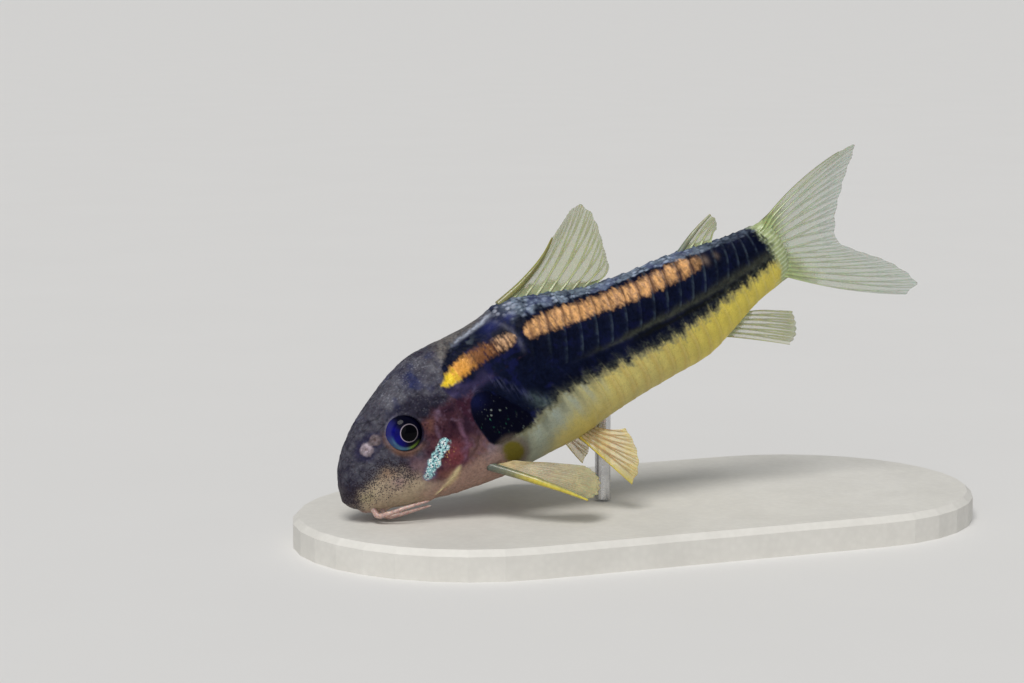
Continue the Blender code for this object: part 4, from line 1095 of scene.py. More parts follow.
def girdle_colour(f, colour, one, dark):
    """Purple skin above the shoulder plate with painted lavender highlights, and the pale girdle with its
    olive spot below it.
    """
    x, z, point, mottle = parts(f, "x z point mottle")
    wx, wz = wander(x, z, point, 1.0, 0.7, 141)
    arc, _ = from_route(wx, wz, PURPLE_ARC)
    colour = mix(colour, TINT["purple"], bell(arc, 0.62) * (0.45 + 0.5 * mottle) * (1 - dark) * (1 - one))
    # Painted lavender highlights on the purple skin and along the shoulder plate's upper edge.
    light = (
        0.5 * blot(wx, wz, 14.5, 5.55, 0.35, 0.22) + 0.7 * blot(wx, wz, 13.2, 5.1, 0.5, 0.25)
        + 0.8 * blot(wx, wz, 15.3, 4.15, 0.6, 0.26)
    )
    colour = mix(colour, TINT["lavender"], unit(light) * 0.7 * (1 - one))
    # The pale shoulder girdle and the olive spot behind the pectoral fin.
    girdle = smooth(-1.35, -1.75, z + 0.45 * (mottle - 0.5)) * smooth(17.0, 14.6, x + 0.35 * (z + 2.0))
    colour = mix(colour, mix(TINT["girdle"], TINT["throat"], smooth(-2.0, -3.6, z)), girdle * 0.92)
    u, v = 0.715 * (x - 16.1) - 0.305 * (z + 2.95), -0.428 * (x - 16.1) - 0.672 * (z + 2.95)
    ring = np.hypot(u, v) + 0.12 * (mottle - 0.5)
    colour = mix(colour, TINT["spot_rim"], smooth(1.75, 1.05, ring) * 0.85)
    colour = mix(colour, TINT["olive_spot"], smooth(1.10, 0.72, ring) * 0.95)
    return colour


def body_colour(f):
    """Colour of the armour, the gold bands and the belly. Also where the belly, gold and glints lie."""
    colour = seam_colour(f, flank_colour(f))
    belly, yellow, deep = belly_colour(f)
    haze = smooth(-1.25, -0.15, deep) * (1 - yellow) * smooth(18.0, 22.0, f["x"])
    colour = mix(colour, TINT["haze"], haze * (0.15 + 0.75 * f["fine"]))
    colour = mix(colour, belly, yellow)
    colour, one, gold = bands_colour(f, colour)
    colour = nape_colour(f, colour, one)
    colour, dark, glint = shoulder_colour(f, colour)
    colour = girdle_colour(f, colour, one, dark)
    return colour, yellow, gold * (1 - yellow), glint, one


def brow_colour(f, wx, wz):
    """Powdery grey over the brow and snout with pale grains and painted highlights over the top of the head,
    darker behind the eye, and greyish pink low on the cheek.
    """
    x, z, point, broad, mottle, small, fine = parts(f, "x z point broad mottle small powder")
    grains, grains_own = flecks(point, 0.19, 55)
    grey = 0.50 + 0.75 * (mottle - 0.5) + 0.65 * (small - 0.5) + 0.45 * (broad - 0.5)
    grey = grey - 1.1 * blot(wx, wz, 10.6, 5.2, 1.9, 1.0) - 0.8 * blot(wx, wz, 12.4, 4.6, 1.4, 0.7)
    grey = grey - 0.55 * blot(wx, wz, 9.0, 6.0, 1.6, 0.7) + 0.55 * blot(wx, wz, 8.0, 7.2, 1.3, 0.6)
    grey = grey - 0.5 * smooth(2.6, 0.6, x)
    head = mix(TINT["head_dark"], TINT["head"], grey)
    shadow = blot(wx, wz, 10.7, 5.0, 1.5, 0.75) + 0.6 * blot(wx, wz, 9.1, 6.1, 1.1, 0.5)
    head = mix(head, TINT["brow_shadow"], unit(shadow) * (0.60 + 0.3 * small))
    crack = np.abs(cloud(point, (1.5, 1.0, 1.0), 123, 2) - 0.5)
    head = head * (1.0 - 0.40 * bell(crack, 0.035) * smooth(0.0, 3.0, z))[..., None]
    blue = (
        unit(1.1 * blot(wx, wz, 10.9, 7.9, 0.9, 0.65))
        + 0.6 * smooth(0.60, 0.85, cloud(point, 1.6, 57, 2)) * smooth(5.5, 7.0, z)
    )
    head = mix(head, TINT["navy_blot"], unit(blue) * (0.60 + 0.35 * small))
    # Painted highlights over the top of the head, drawn through pale grains that also lie lightly over the
    # rest of it.
    pale = (
        blot(wx, wz, 9.8, 8.3, 0.8, 0.5) + blot(wx, wz, 12.2, 8.8, 0.9, 0.5)
        + blot(wx, wz, 8.2, 7.3, 1.0, 0.5)
    )
    pale = pale + 0.45 * smooth(0.50, 0.85, broad) * smooth(4.6, 6.2, z)
    grainy = smooth(0.58, 0.22, grains) * smooth(0.40, 0.80, grains_own)
    head = mix(head, TINT["pale_grain_and_highlight"], unit(pale) * (0.12 + 0.80 * grainy))
    head = mix(head, TINT["pale_grain_and_highlight"], grainy * 0.18 * smooth(0.0, 3.0, z))
    border = smooth(1.2, 0.0, np.abs(f["shield"] + 0.35)) * smooth(13.4, 15.0, x) * (z > 6.0)
    head = mix(head, TINT["shield_border"], border * (0.35 + 0.4 * fine))
    low = smooth(2.4, 0.4, wz) * smooth(5.6, 7.0, wx) * smooth(9.8, 8.0, wx - 0.5 * wz)
    head = mix(
        head, mix(TINT["cheek_top"], TINT["low_cheek"], smooth(2.0, 0.0, wz) + 0.4 * (small - 0.5)),
        low * 0.85,
    )
    head = mix(
        head, TINT["low_cheek"], smooth(-0.2, -1.5, wz + 0.05 * (x - 8.0)) * smooth(12.0, 10.4, x) * 0.85,
    )
    return head


def throat_colour(f, head, wx, wz, rim):
    """The throat, the front of the shoulder girdle and the dark skin between it and the cheek."""
    x, z, mottle = parts(f, "x z mottle")
    head = mix(head, TINT["throat"], smooth(-2.0, -3.2, wz) * (0.75 + 0.25 * mottle) * smooth(4.0, 6.5, x))
    girdle = smooth(0.1, 0.8, rim) * smooth(-1.0, -1.9, wz)
    head = mix(head, mix(TINT["girdle_pink"], TINT["throat"], smooth(-1.6, -3.0, z)), girdle * 0.85)
    girdle = smooth(13.4, 14.4, wx - 0.3 * (z + 1.0)) * smooth(-0.6, -1.4, wz)
    head = mix(head, TINT["girdle"], girdle * 0.85 * smooth(-4.0, -3.0, z))
    head = mix(head, TINT["spot_rim"], blot(x, z, 14.9, -2.6, 0.45, 0.5) * 0.75)
    maroon = 1.1 * blot(wx, wz, 13.6, 1.9, 0.55, 1.3) + blot(wx, wz, 12.9, 4.1, 0.8, 0.45)
    head = mix(head, TINT["maroon"], unit(maroon) * 0.75)
    return head


def gill_edge_colour(f, head):
    """The pale edge of the gill membrane."""
    x, z, small = parts(f, "x z small")
    line, place = from_route(x, z, GILL_EDGE)
    swell = np.sin(np.pi * unit(place * 1.15))
    band = (
        bell(line + 0.08 * (small - 0.5), 0.12 + 0.27 * swell) * smooth(0.0, 0.15, place)
        * smooth(1.0, 0.80, place)
    )
    head = mix(head, TINT["gill_edge"], unit(band * (0.85 + 0.3 * small)))
    head = mix(
        head, TINT["gill_orange"],
        bell(line - 0.34, 0.20) * smooth(0.05, 0.3, place) * (place < 0.98) * 0.35,
    )
    return head


def patch_colour(f, head):
    """The ground of the glittering patch with gold flecks behind it. Also how much the patch covers."""
    x, z, point, small, fine = parts(f, "x z point small powder")
    off, along = from_route(x, z, PATCH_LINE)
    half = (0.56 - 0.10 * along) * np.sqrt(unit(1.0 - np.abs(2.0 * along - 0.95) ** 3.0))
    edge = np.abs(off) - half + 0.35 * (small - 0.5) + 0.15 * (fine - 0.5)
    patch = (
        smooth(0.14, -0.08, edge) * (along > 0.0) * (along < 1.0)
        * (1.0 - 0.55 * smooth(0.80, 1.0, along))
    )
    halo = smooth(0.50, 0.0, edge) * smooth(0.45, 0.9, along) * (along < 1.0)
    head = mix(head, TINT["patch_halo"], halo * 0.6)
    behind = unit(1.3 * blot(x, z, 10.45, 0.15, 0.55, 0.75)) * (1 - patch)
    flake, flake_own = flecks(point, 0.20, 83)
    head = mix(head, TINT["gold_fleck"], behind * smooth(0.40, 0.18, flake) * (flake_own > 0.55) * 0.8)
    return head, patch


def eye_skin_colour(f, head, across, away):
    """The skin round the eye, with painted shade where it turns in at the socket."""
    mottle = f["mottle"]
    lower_front = np.clip((-away[..., 0] * 0.75 - away[..., 2] * 0.75) / 2.0, -1.0, 1.0)
    head = mix(
        head, TINT["eye_rim"],
        smooth(2.55, 1.85, across + 0.3 * (mottle - 0.5)) * smooth(0.0, 0.7, lower_front) * 0.80,
    )
    upper_front = np.clip((-away[..., 0] * 0.75 + away[..., 2] * 0.65) / 2.0, -1.0, 1.0)
    head = mix(head, TINT["eye_gleam"], bell(across - 1.92, 0.10) * smooth(0.3, 0.8, upper_front) * 0.5)
    # Painted shade where the skin turns in round the eye.
    head = mix(head, TINT["eye_socket_shade"], smooth(EYE_OPENING + 0.16, EYE_OPENING, across) * 0.9)
    return head


def lips_colour(f, head):
    """Lips and mouth. Also how much the lips cover."""
    arc, under = mouth_place(f)
    lips = under * smooth(-0.5, -0.2, arc) * smooth(1.5, 1.2, arc)
    head = mix(head, TINT["lip"], lips * 0.8)
    head = mix(head, TINT["mouth"], under * bell(arc - 0.48, 0.14) * 0.9)
    return head, lips


def head_colour(f, across, away):
    """Colour of the head, how much of it is the glittering cheek patch, and how thick the dark dots lie."""
    wx, wz = wander(f["x"], f["z"], f["point"], 1.2, 0.9, 121)
    head = brow_colour(f, wx, wz)
    cheek, cover, rim = cheek_colour(f)
    head = throat_colour(f, mix(head, cheek, cover), wx, wz, rim)
    head, density = snout_colour(f, head)
    head = gill_edge_colour(f, head)
    head, patch = patch_colour(f, head)
    head = nostril_colour(f, head)
    head = eye_skin_colour(f, head, across, away)
    head, lips = lips_colour(f, head)
    return head * (0.80 + 0.36 * f["powder"])[..., None], patch, density * (1.0 - lips)


def skin_colour(f, across, away):
    """Colour, roughness and metal of the skin at each point, and its glitter and dark dots."""
    x, z, fine, mottle = parts(f, "x z fine mottle")
    body, yellow, gold, glint, one = body_colour(f)
    head, patch, density = head_colour(f, across, away)
    ragged = 0.30 * (fine - 0.5) + 0.35 * (mottle - 0.5)
    behind_up = smooth(-0.14, 0.14, f["shield"] + 0.12 * (fine - 0.5)) * smooth(3.9, 4.6, z + ragged)
    behind_up = np.maximum(behind_up, one * (x > 12.5))
    plate = smooth(-0.14, 0.10, f["shoulder"])
    rear = smooth(14.6, 15.6, x + ragged)
    back = unit(np.maximum(behind_up, plate))
    back = np.maximum(back, rear * smooth(4.9, 4.4, z))
    back = np.maximum(back, smooth(21.0, 22.5, x))
    colour = mix(head, body, back)
    # Rays run on over the end of the tail stem.
    rounded = x + 0.30 * ((z + 1.6) / 3.0) ** 2 * 2.0
    end = smooth(51.0, 52.1, rounded + 0.8 * (mottle - 0.5) + 0.5 * (fine - 0.5))
    ray = 0.5 + 0.5 * np.cos(2 * np.pi * (z - 1.45) / 0.436)
    stub = mix(TINT["tail_base"], TINT["tail_ray"], smooth(0.45, 0.9, ray))
    colour = mix(colour, stub * (0.80 + 0.35 * fine)[..., None], end)
    rough = 0.46 - 0.04 * back + 0.14 * (fine - 0.5) + 0.08 * yellow * back
    metal = gold * back * 0.25 * (1 - end) + glint * back * 0.6
    shine = 0.03 + 0.30 * smooth(0.01, 0.25, colour.mean(axis=-1))
    keep = 1 - back
    return (
        unit(colour), np.clip(rough, 0.15, 0.9), np.clip(metal, 0.0, 0.9),
        unit(shine), patch * keep, density * keep,
    )


def skin_material():
    """Fine grain over the skin's own colours, with dark dots and the glitter of the cheek patch."""
    s = Shader("fish_skin")
    fine = s.ranged(s.noise(6500.0, 3.0, 0.65), 0.3, 0.7, 0.80, 1.18)
    base = s.times(s.attribute("tint", "Color"), fine)
    # Dark dots on the snout, of two sizes and more of them where they lie thick.
    for scale, share in ((6200.0, 1.0), (8600.0, 0.85)):
        far, own = s.spots(scale)
        many = s.maths("LESS_THAN", own, s.maths("MULTIPLY", s.attribute("dots"), share))
        dark = s.maths("MULTIPLY", s.maths("MULTIPLY", many, s.ranged(far, 0.34, 0.58, 1.0, 0.0)), 0.85)
        base = s.blend(dark, base, TINT["speck"])
    # Fine glittering scales of the cheek patch: blue green, pale and white ones with dark gaps.
    far, own = s.spots(7200.0)
    scale = s.blend(s.ranged(own, 0.0, 0.55, 0.0, 1.0), TINT["glitter_teal"], TINT["glitter_pale"])
    scale = s.blend(s.ranged(own, 0.70, 0.78, 0.0, 1.0), scale, TINT["glitter_white"])
    scale = s.blend(s.ranged(own, 0.08, 0.16, 1.0, 0.0), scale, TINT["glitter_dark"])
    scale = s.blend(s.ranged(far, 0.45, 0.75, 0.0, 0.55), scale, TINT["glitter_gap"])
    base = s.blend(s.attribute("glitter"), base, scale)
    s.feed(Base_Color=base)
    s.feed(Roughness=s.maths("ADD", s.attribute("rough"), s.ranged(s.noise(2600.0), 0.3, 0.7, -0.05, 0.06)))
    s.feed(Metallic=s.maths("ADD", s.attribute("metal"), s.maths("MULTIPLY", s.attribute("glitter"), 0.35)))
    pebble = s.bump(s.cells(9000.0), 0.00002, 0.35)
    s.feed(Normal=s.bump(s.noise(3800.0, 4.0, 0.6), 0.00005, 0.35, pebble))
    s.feed(Specular_IOR_Level=s.attribute("shine"))
    s.set(Coat_Weight=0.015, Coat_Roughness=0.20, Subsurface_Weight=0.05, Subsurface_Scale=0.0006)
    return s.material


def make_skin():
    """One closed skin over the head, trunk and tail stem, in two mirrored halves."""
    f = skin_field()
    halves = {}
    for side in (1, -1):
        g = sided(f, side)
        lifted = g["point"] + skin_height(g)[..., None] * g["out"]
        lifted, across, away = socket(lifted, side)
        lifted[:, 0, 1] = lifted[:, -1, 1] = 0.0
        halves[side] = (lifted, *skin_colour(g, across, away))
    right, left = halves[1], halves[-1]

    def joined(k):
        return np.concatenate([right[k], left[k][:, -2:0:-1]], axis=1)

    grid, colour, rough, metal, shine, glitter, dots = (joined(k) for k in range(7))
    count = grid.shape[1]
    points = grid.reshape(-1, 3)
    nose = np.array([[NOSE_TIP, 0.0, 0.2]])
    end = grid[-1].mean(axis=0, keepdims=True)
    points = np.concatenate([points, nose, end])
    skin = mesh_object("skin", to_world(points), ring_faces(len(grid), count))
    orient(skin)

    def whole(values):
        flat = values.reshape(grid.shape[0] * count, *values.shape[2:])
        return np.concatenate([flat, flat[:1], flat[-1:]])

    give_colour(skin, "tint", whole(colour))
    give_value(skin, "rough", whole(rough))
    give_value(skin, "metal", whole(metal))
    give_value(skin, "shine", whole(shine))
    give_value(skin, "glitter", whole(glitter))
    give_value(skin, "dots", whole(dots))
    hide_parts("head", "trunk", "tail_stem")
    skin.data.materials.append(skin_material())


def disc_mesh(centre, look, radius, depth, rings, segments):
    """A flattened ball that looks along look, as rings from the pole. Returns points and faces."""
    look = Vector(look).normalized()
    up = Vector((0.0, 0.0, 1.0))
    across = np.array(up.cross(look).normalized())
    other = np.array(look.cross(Vector(across)))
    look = np.array(look)
    a = np.linspace(0, np.pi, rings + 2)[1:-1, None]
    b = np.linspace(0, 2 * np.pi, segments, endpoint=False)[None, :]
    flat = across * np.cos(b)[..., None] + other * np.sin(b)[..., None]
    grid = np.array(centre) + flat * (radius * np.sin(a))[..., None] + look * (depth * np.cos(a))[..., None]
    points = np.concatenate([grid.reshape(-1, 3), [centre + look * depth, centre - look * depth]])
    return points, ring_faces(rings, segments)


def make_eyes():
    """Two domed eyes: a blue iris, teal low at the front, and a dark pupil in a pale ring."""
    s = Shader("eye_wet")
    s.feed(Base_Color=s.attribute("tint", "Color"))
    s.feed(Normal=s.bump(s.noise(900.0, 2.0), 0.00001, 0.15))
    s.feed(Roughness=s.ranged(s.noise(2500.0), 0.3, 0.7, 0.10, 0.16))
    s.set(Coat_Weight=0.10, Coat_Roughness=0.02, Specular_IOR_Level=0.02)
    for word, side in SIDES:
        centre, look = eye_frame(side)
        points, faces = disc_mesh(centre, look, EYE_RADIUS, EYE_DEPTH, 150, 160)
        away = points - centre
        along = away @ look
        flat = away - along[:, None] * look
        radius = np.linalg.norm(flat, axis=1)
        tailward, upward = flat[:, 0], flat[:, 2]
        # The pupil's ring sits a little towards the tail.
        shift = np.hypot(tailward - 0.24, upward + 0.02)
        colour = mix(
            TINT["iris_black"], TINT["iris_blue"],
            smooth(0.10, -0.90, tailward + 0.20 * np.abs(upward - 0.2)),
        )
        spread = cloud(points, 0.5, 91)
        colour = colour * (0.7 + 0.6 * spread)[:, None]
        rim = smooth(1.20, 1.50, radius)
        lower_front = smooth(0.15, 0.85, (-tailward * 0.62 - upward * 0.78) / np.maximum(radius, 0.1))
        teal = mix(TINT["iris_teal"], TINT["iris_green"], smooth(-0.8, 0.0, tailward))
        colour = mix(colour, teal, rim * lower_front * (0.75 + 0.3 * spread))
        upper_front = smooth(0.3, 0.9, (-tailward * 0.9 + upward * 0.35) / np.maximum(radius, 0.1))
        colour = mix(colour, TINT["iris_rim"], smooth(1.35, 1.6, radius) * upper_front * 0.6)
        colour = mix(colour, TINT["pupil"], smooth(0.90, 0.80, shift))
        front = smooth(0.6, -0.9, tailward - 0.24)
        colour = mix(colour, TINT["pupil_ring"], bell(shift - 0.87, 0.030) * (0.40 + 0.40 * front))
        colour = np.where((along > 0)[:, None], colour, np.array(TINT["eye_back"]))
        eye = mesh_object(f"eyeball_{word}", to_world(points), faces)
        orient(eye)
        give_colour(eye, "tint", unit(colour))
        eye.data.materials.append(s.material)
        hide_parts(f"eye_{word}")


def bent_path(points, count):
    """Points at even steps along a smooth curve through the given ones."""
    points = np.asarray(points, float)
    steps = np.concatenate([[0.0], np.cumsum(np.linalg.norm(np.diff(points, axis=0), axis=1))])
    at = np.linspace(0.0, steps[-1], count)
    return np.stack([curve_through(steps, points[:, k], at) for k in range(3)], axis=1)


def spread(points, count):
    """The same for points of the middle plane, given as x and z."""
    return bent_path([(p[0], 0.0, p[1]) for p in points], count)


def ray(base, tip, along, bow):
    """Points along a ray that bows by the given amount half way."""
    base, tip, bow = (np.asarray(v, float) for v in (base, tip, bow))
    share = np.linspace(0.0, 1.0, along)[:, None]
    return base + (tip - base) * share + bow * 4.0 * share * (1.0 - share)


def side_point(x, angle, side, out=0.0):
    """A point on the body's surface, or out from it."""
    small = 1e-3
    here = np.array([x, *section_point(np.float64(x), np.float64(angle))], float)
    along = np.array([x + small, *section_point(np.float64(x + small), np.float64(angle))]) - here
    up = np.array([x, *section_point(np.float64(x), np.float64(angle + small))]) - here
    normal = np.cross(along, up)
    normal /= np.linalg.norm(normal)
    if normal[1] < 0:
        normal = -normal
    return (here + normal * out) * np.array([1.0, side, 1.0])


def flank_at(x, z, side, out):
    """A point of the lower flank at the given height."""
    wide, belly, below = (body_value(x, k) for k in (WIDE, BELLY, BELOW))
    share = min(max((wide - z) / (wide - belly), 0.0), 0.999)
    return side_point(x, -math.asin(share ** (below / 2.0)), side, out)


def under_at(x, y, out):
    """A point of the underside at the given distance from the middle."""
    half, below = body_value(x, HALF), body_value(x, BELOW)
    angle = -math.acos(min(abs(y) / half, 0.999) ** (below / 2.0))
    return side_point(x, angle, math.copysign(1.0, y), out)


def tube_mesh(path, radii, sides):
    """Points and faces of a closed round tube in the fish's frame."""
    path = np.asarray(path, float)
    tangents = np.gradient(path, axis=0)
    rows = []
    hint = Vector((0.1, 0.2, 1.0))
    for at, tangent, radius in zip(path, tangents, radii):
        tangent = Vector(tangent).normalized()
        across = tangent.cross(hint).normalized()
        other = tangent.cross(across)
        a = np.linspace(0, 2 * np.pi, sides, endpoint=False)[:, None]
        rows.append(at + (np.cos(a) * np.array(across) + np.sin(a) * np.array(other)) * radius)
    points = np.concatenate(rows + [[path[0], path[-1]]])
    return points, ring_faces(len(path), sides)


FIN_STEPS = 22
FIN_ALONG = 64
SINK = 0.14
LONGEST_ROOT = 7.0
FIN_NOTCH = 0.018
FIRST_SPLIT = 0.23
RAY_WIDTH = 0.115
RAY_JOINTS = 26.0
WEB_HALF = 0.05
SPINE_RINGS = 60
SPINE_SIDES = 20


def fin_surface(rays, sink):
    """Places along and across a fin, its middle surface there, and the gap between rays along it."""
    many, known = rays.shape[:2]
    along = np.linspace(-sink, 1.0, FIN_ALONG)
    across = np.linspace(0, many - 1, (many - 1) * FIN_STEPS + 1)
    share = np.linspace(0, 1, known)
    down = rays[:, 1] - rays[:, 0]
    down = down / np.linalg.norm(down, axis=1, keepdims=True)
    length = np.linalg.norm(rays[:, -1] - rays[:, 0], axis=1)
    lines = np.stack([
        np.stack([curve_through(share, rays[i, :, k], np.maximum(along, 0.0)) for k in range(3)], axis=-1)
        + down[i] * (np.minimum(along, 0.0) * min(length[i], LONGEST_ROOT))[:, None]
        for i in range(many)
    ])
    sheet = np.stack([
        np.stack([curve_through(np.arange(many), lines[:, j, k], across) for k in range(3)], axis=-1)
        for j in range(FIN_ALONG)
    ], axis=1)
    # The margin is drawn in a little between the rays.
    ripple = 0.5 - 0.5 * np.cos(2 * np.pi * across)
    pull = (ripple * FIN_NOTCH)[:, None, None] * smooth(0.85, 1.0, along)[None, :, None]
    sheet = sheet - (sheet - sheet[:, :1]) * pull
    gap = np.linalg.norm(np.diff(lines, axis=0), axis=2).mean(axis=0)
    t = np.broadcast_to(along, (len(across), FIN_ALONG))
    return t, np.broadcast_to(across[:, None], t.shape), sheet, gap


def ray_ridge(t, s, gap):
    """How much of each point is ray, not web. Each ray but the first splits twice on its way out."""
    near = np.round(s)
    off = s - near
    off = np.where(near < 0.5, s, np.abs(np.abs(off) - FIRST_SPLIT * smooth(0.25, 0.75, t)))
    off = np.where(near < 0.5, off, np.abs(off - FIRST_SPLIT / 2.0 * smooth(0.60, 0.98, t)))
    width = RAY_WIDTH * (1.0 - 0.50 * unit(t))
    return bell(off * np.maximum(gap, 0.05)[None, :], width)


def sheet_faces(columns):
    """Faces of two layers of points, each columns by FIN_ALONG, joined round their rim."""
    i = np.arange(columns - 1)[:, None] * FIN_ALONG
    a = (i + np.arange(FIN_ALONG - 1)[None, :]).ravel()
    quads = np.stack([a, a + FIN_ALONG, a + FIN_ALONG + 1, a + 1], axis=-1)
    total = columns * FIN_ALONG
    rim = [c * FIN_ALONG for c in range(columns)]
    rim += [(columns - 1) * FIN_ALONG + c for c in range(1, FIN_ALONG)]
    rim += [c * FIN_ALONG + FIN_ALONG - 1 for c in range(columns - 2, -1, -1)]
    rim += list(range(FIN_ALONG - 2, 0, -1))
    faces = quads.tolist() + (quads[:, ::-1] + total).tolist()
    return faces + [(h, total + h, total + n, n) for h, n in zip(rim, rim[1:] + rim[:1])]


def fin_colour(t, wide, sheet, ridge, look):
    """Colour of a fin and how much light it stops."""
    grain = cloud(sheet, 0.5, 101)
    joints = 0.5 + 0.5 * np.cos(2 * np.pi * t * RAY_JOINTS)
    colour = mix(look["web"], look["ray"], ridge)
    colour = mix(colour, look["tip"], smooth(0.45, 1.0, t) * look["tip_share"])
    colour = mix(colour, look["base"], smooth(look["root_reach"], 0.0, t))
    colour = mix(colour, look["front"], smooth(0.14, 0.0, wide) * 0.85)
    colour = colour * (0.82 + 0.30 * grain)[..., None]
    colour = colour * (1.0 - 0.28 * ridge * joints * smooth(0.25, 0.45, t))[..., None]
    rooted = smooth(look["root_reach"] * 0.8, 0.0, t + 0.12 * (grain - 0.5))
    solid = unit(ridge * (0.90 - 0.35 * t) + rooted)
    cover = look["cover"] + (0.96 - look["cover"]) * solid
    return colour, cover * (0.88 + 0.24 * grain)


def fin_sheet(name, node, rays, look, sink=SINK, root=0.0):
    """A fin of thin web and branching rays, as one closed sheet that grows out of the body.

    look gives its colours: web, ray, front, tip and base, each three numbers, and cover, how much
    light the web stops from 0 to 1. root is how much thicker the fin is where it meets the body.
    """
    rays = np.asarray(rays, float)
    t, s, sheet, gap = fin_surface(rays, sink)
    ridge = ray_ridge(t, s, gap)
    half = WEB_HALF + 0.12 * ridge * (1.0 - 0.6 * unit(t))
    half = half + 0.10 * smooth(0.16, -0.02, t) + root * smooth(0.16, -0.03, t)
    normal = np.cross(np.gradient(sheet, axis=0), np.gradient(sheet, axis=1))
    normal /= np.maximum(np.linalg.norm(normal, axis=2, keepdims=True), 1e-9)
    layers = [(sheet + side * normal * half[..., None]).reshape(-1, 3) for side in (1, -1)]
    fin = mesh_object(name, to_world(np.concatenate(layers)), sheet_faces(len(s)))
    orient(fin)
    colour, cover = fin_colour(t, s / (len(rays) - 1), sheet, ridge, look)
    give_colour(fin, "tint", unit(np.concatenate([colour.reshape(-1, 3)] * 2)))
    give_value(fin, "cover", unit(np.concatenate([cover.ravel()] * 2)))
    fin.data.materials.append(FIN_MATERIAL)
    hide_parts(node)


def fin_material():
    """Thin web that lets light through, with stiff rays."""
    s = Shader("fin_web")
    tint = s.attribute("tint", "Color")
    fine = s.ranged(s.noise(5000.0, 2.0), 0.3, 0.7, 0.86, 1.12)
    s.feed(Base_Color=s.times(tint, fine))
    s.feed(Alpha=s.attribute("cover"))
    s.feed(Roughness=s.ranged(s.noise(2600.0), 0.3, 0.7, 0.28, 0.42))
    s.feed(Normal=s.bump(s.noise(7000.0, 2.0), 0.00002, 0.3))
    s.set(Coat_Weight=0.3, Coat_Roughness=0.15, Subsurface_Weight=0.15, Subsurface_Scale=0.001)
    return s.material


def spine_tube(name, first_ray, back, looks):
    """A stout bony spine along the front of a fin, with fine cross bands."""
    radii, base, tip, edge = looks
    start = first_ray[0] + (first_ray[0] - first_ray[1]) * back
    path = bent_path([start, *first_ray[::2]], SPINE_RINGS)
    share = np.linspace(0, 1, SPINE_RINGS)
    points, faces = tube_mesh(path, np.interp(share, (0, 0.5, 1), radii), SPINE_SIDES)
    item = mesh_object(name, to_world(points), faces)
    orient(item)
    share = np.concatenate([np.repeat(share, SPINE_SIDES), [0, 1]])
    turn = np.tile(np.linspace(0, 1, SPINE_SIDES, endpoint=False), SPINE_RINGS)
    turn = np.concatenate([turn, [0, 0]])
    colour = mix(base, tip, share)
    colour = mix(colour, edge, smooth(0.25, 0.5, np.abs(turn - 0.5)) * smooth(0.2, 0.5, share))
    band = 0.5 + 0.5 * np.cos(2 * np.pi * share * 22.0)
    colour = colour * (0.78 + 0.3 * cloud(points, 0.3, 111) - 0.12 * band)[:, None]
    give_colour(item, "tint", unit(colour))
    give_value(item, "cover", np.full(len(points), 0.97))
    item.data.materials.append(FIN_MATERIAL)


DORSAL_BASE = (23.9, 33.2)
DORSAL_TIPS = ((31.3, 12.0), (35.7, 13.3), (36.2, 12.0), (36.1, 10.2), (35.7, 8.3), (35.3, 6.4))
ADIPOSE_BASE = (43.0, 46.4)
ADIPOSE_TIPS = ((47.6, 5.3), (47.9, 4.6), (47.5, 3.6))
ANAL_BASE = (43.3, 46.8)
ANAL_TIPS = ((49.3, -11.4), (50.3, -11.0), (51.0, -9.8), (51.2, -8.4))
CAUDAL_ROOT = ((52.3, 1.45), (52.3, -4.65))
CAUDAL_TIPS = (
    (63.6, 3.6), (65.8, 3.2), (64.3, 1.9), (62.2, -0.2), (60.2, -2.6), (59.4, -4.6),
    (60.6, -6.4), (62.7, -8.6), (64.6, -11.2), (65.4, -13.4), (63.6, -13.7),
)
PECTORAL_ROOT = ((13.9, -3.4), (15.9, -4.0))
PECTORAL_TIPS = (
    (19.2, 10.5, -9.5), (20.5, 10.1, -9.7), (21.5, 9.2, -9.2), (21.8, 8.1, -8.5), (21.4, 7.2, -7.6),
)
PELVIC_ROOT = ((23.4, 3.3), (25.3, 3.1))
PELVIC_TIPS = (
    (25.2, 6.2, -12.4), (26.4, 6.2, -11.6), (27.3, 5.8, -10.2), (27.7, 5.2, -8.6), (27.7, 4.7, -7.5),
)
BARBELS = {
    "barbel_upper": (
        (1.85, -52.0, -0.10), (2.15, -48.0, 0.80), (3.1, -42.0, 1.00), (4.9, -38.0, 1.10), (7.0, -40.0, 1.00),
    ),
    "barbel_lower": (
        (2.75, -68.0, -0.10), (3.00, -66.0, 0.74), (4.0, -63.0, 0.86), (5.4, -61.0, 0.80), (7.2, -60.0, 0.72),
    ),
}

GREEN_FIN = {
    "web": (0.33, 0.37, 0.10), "ray": (0.42, 0.46, 0.20), "tip": (0.34, 0.38, 0.15), "tip_share": 0.6,
    "base": (0.40, 0.44, 0.24), "front": (0.30, 0.30, 0.02), "cover": 0.28, "root_reach": 0.22,
}
TAIL_FIN = {
    "web": (0.36, 0.43, 0.27), "ray": (0.46, 0.53, 0.35), "tip": (0.40, 0.47, 0.40), "tip_share": 0.8,
    "base": (0.38, 0.45, 0.20), "front": (0.34, 0.42, 0.15), "cover": 0.30, "root_reach": 0.42,
}
YELLOW_FIN = {
    "web": (0.80, 0.62, 0.24), "ray": (0.44, 0.27, 0.10), "tip": (0.82, 0.68, 0.20), "tip_share": 0.5,
    "base": (0.50, 0.38, 0.17), "front": (0.80, 0.62, 0.04), "cover": 0.42, "root_reach": 0.25,
}


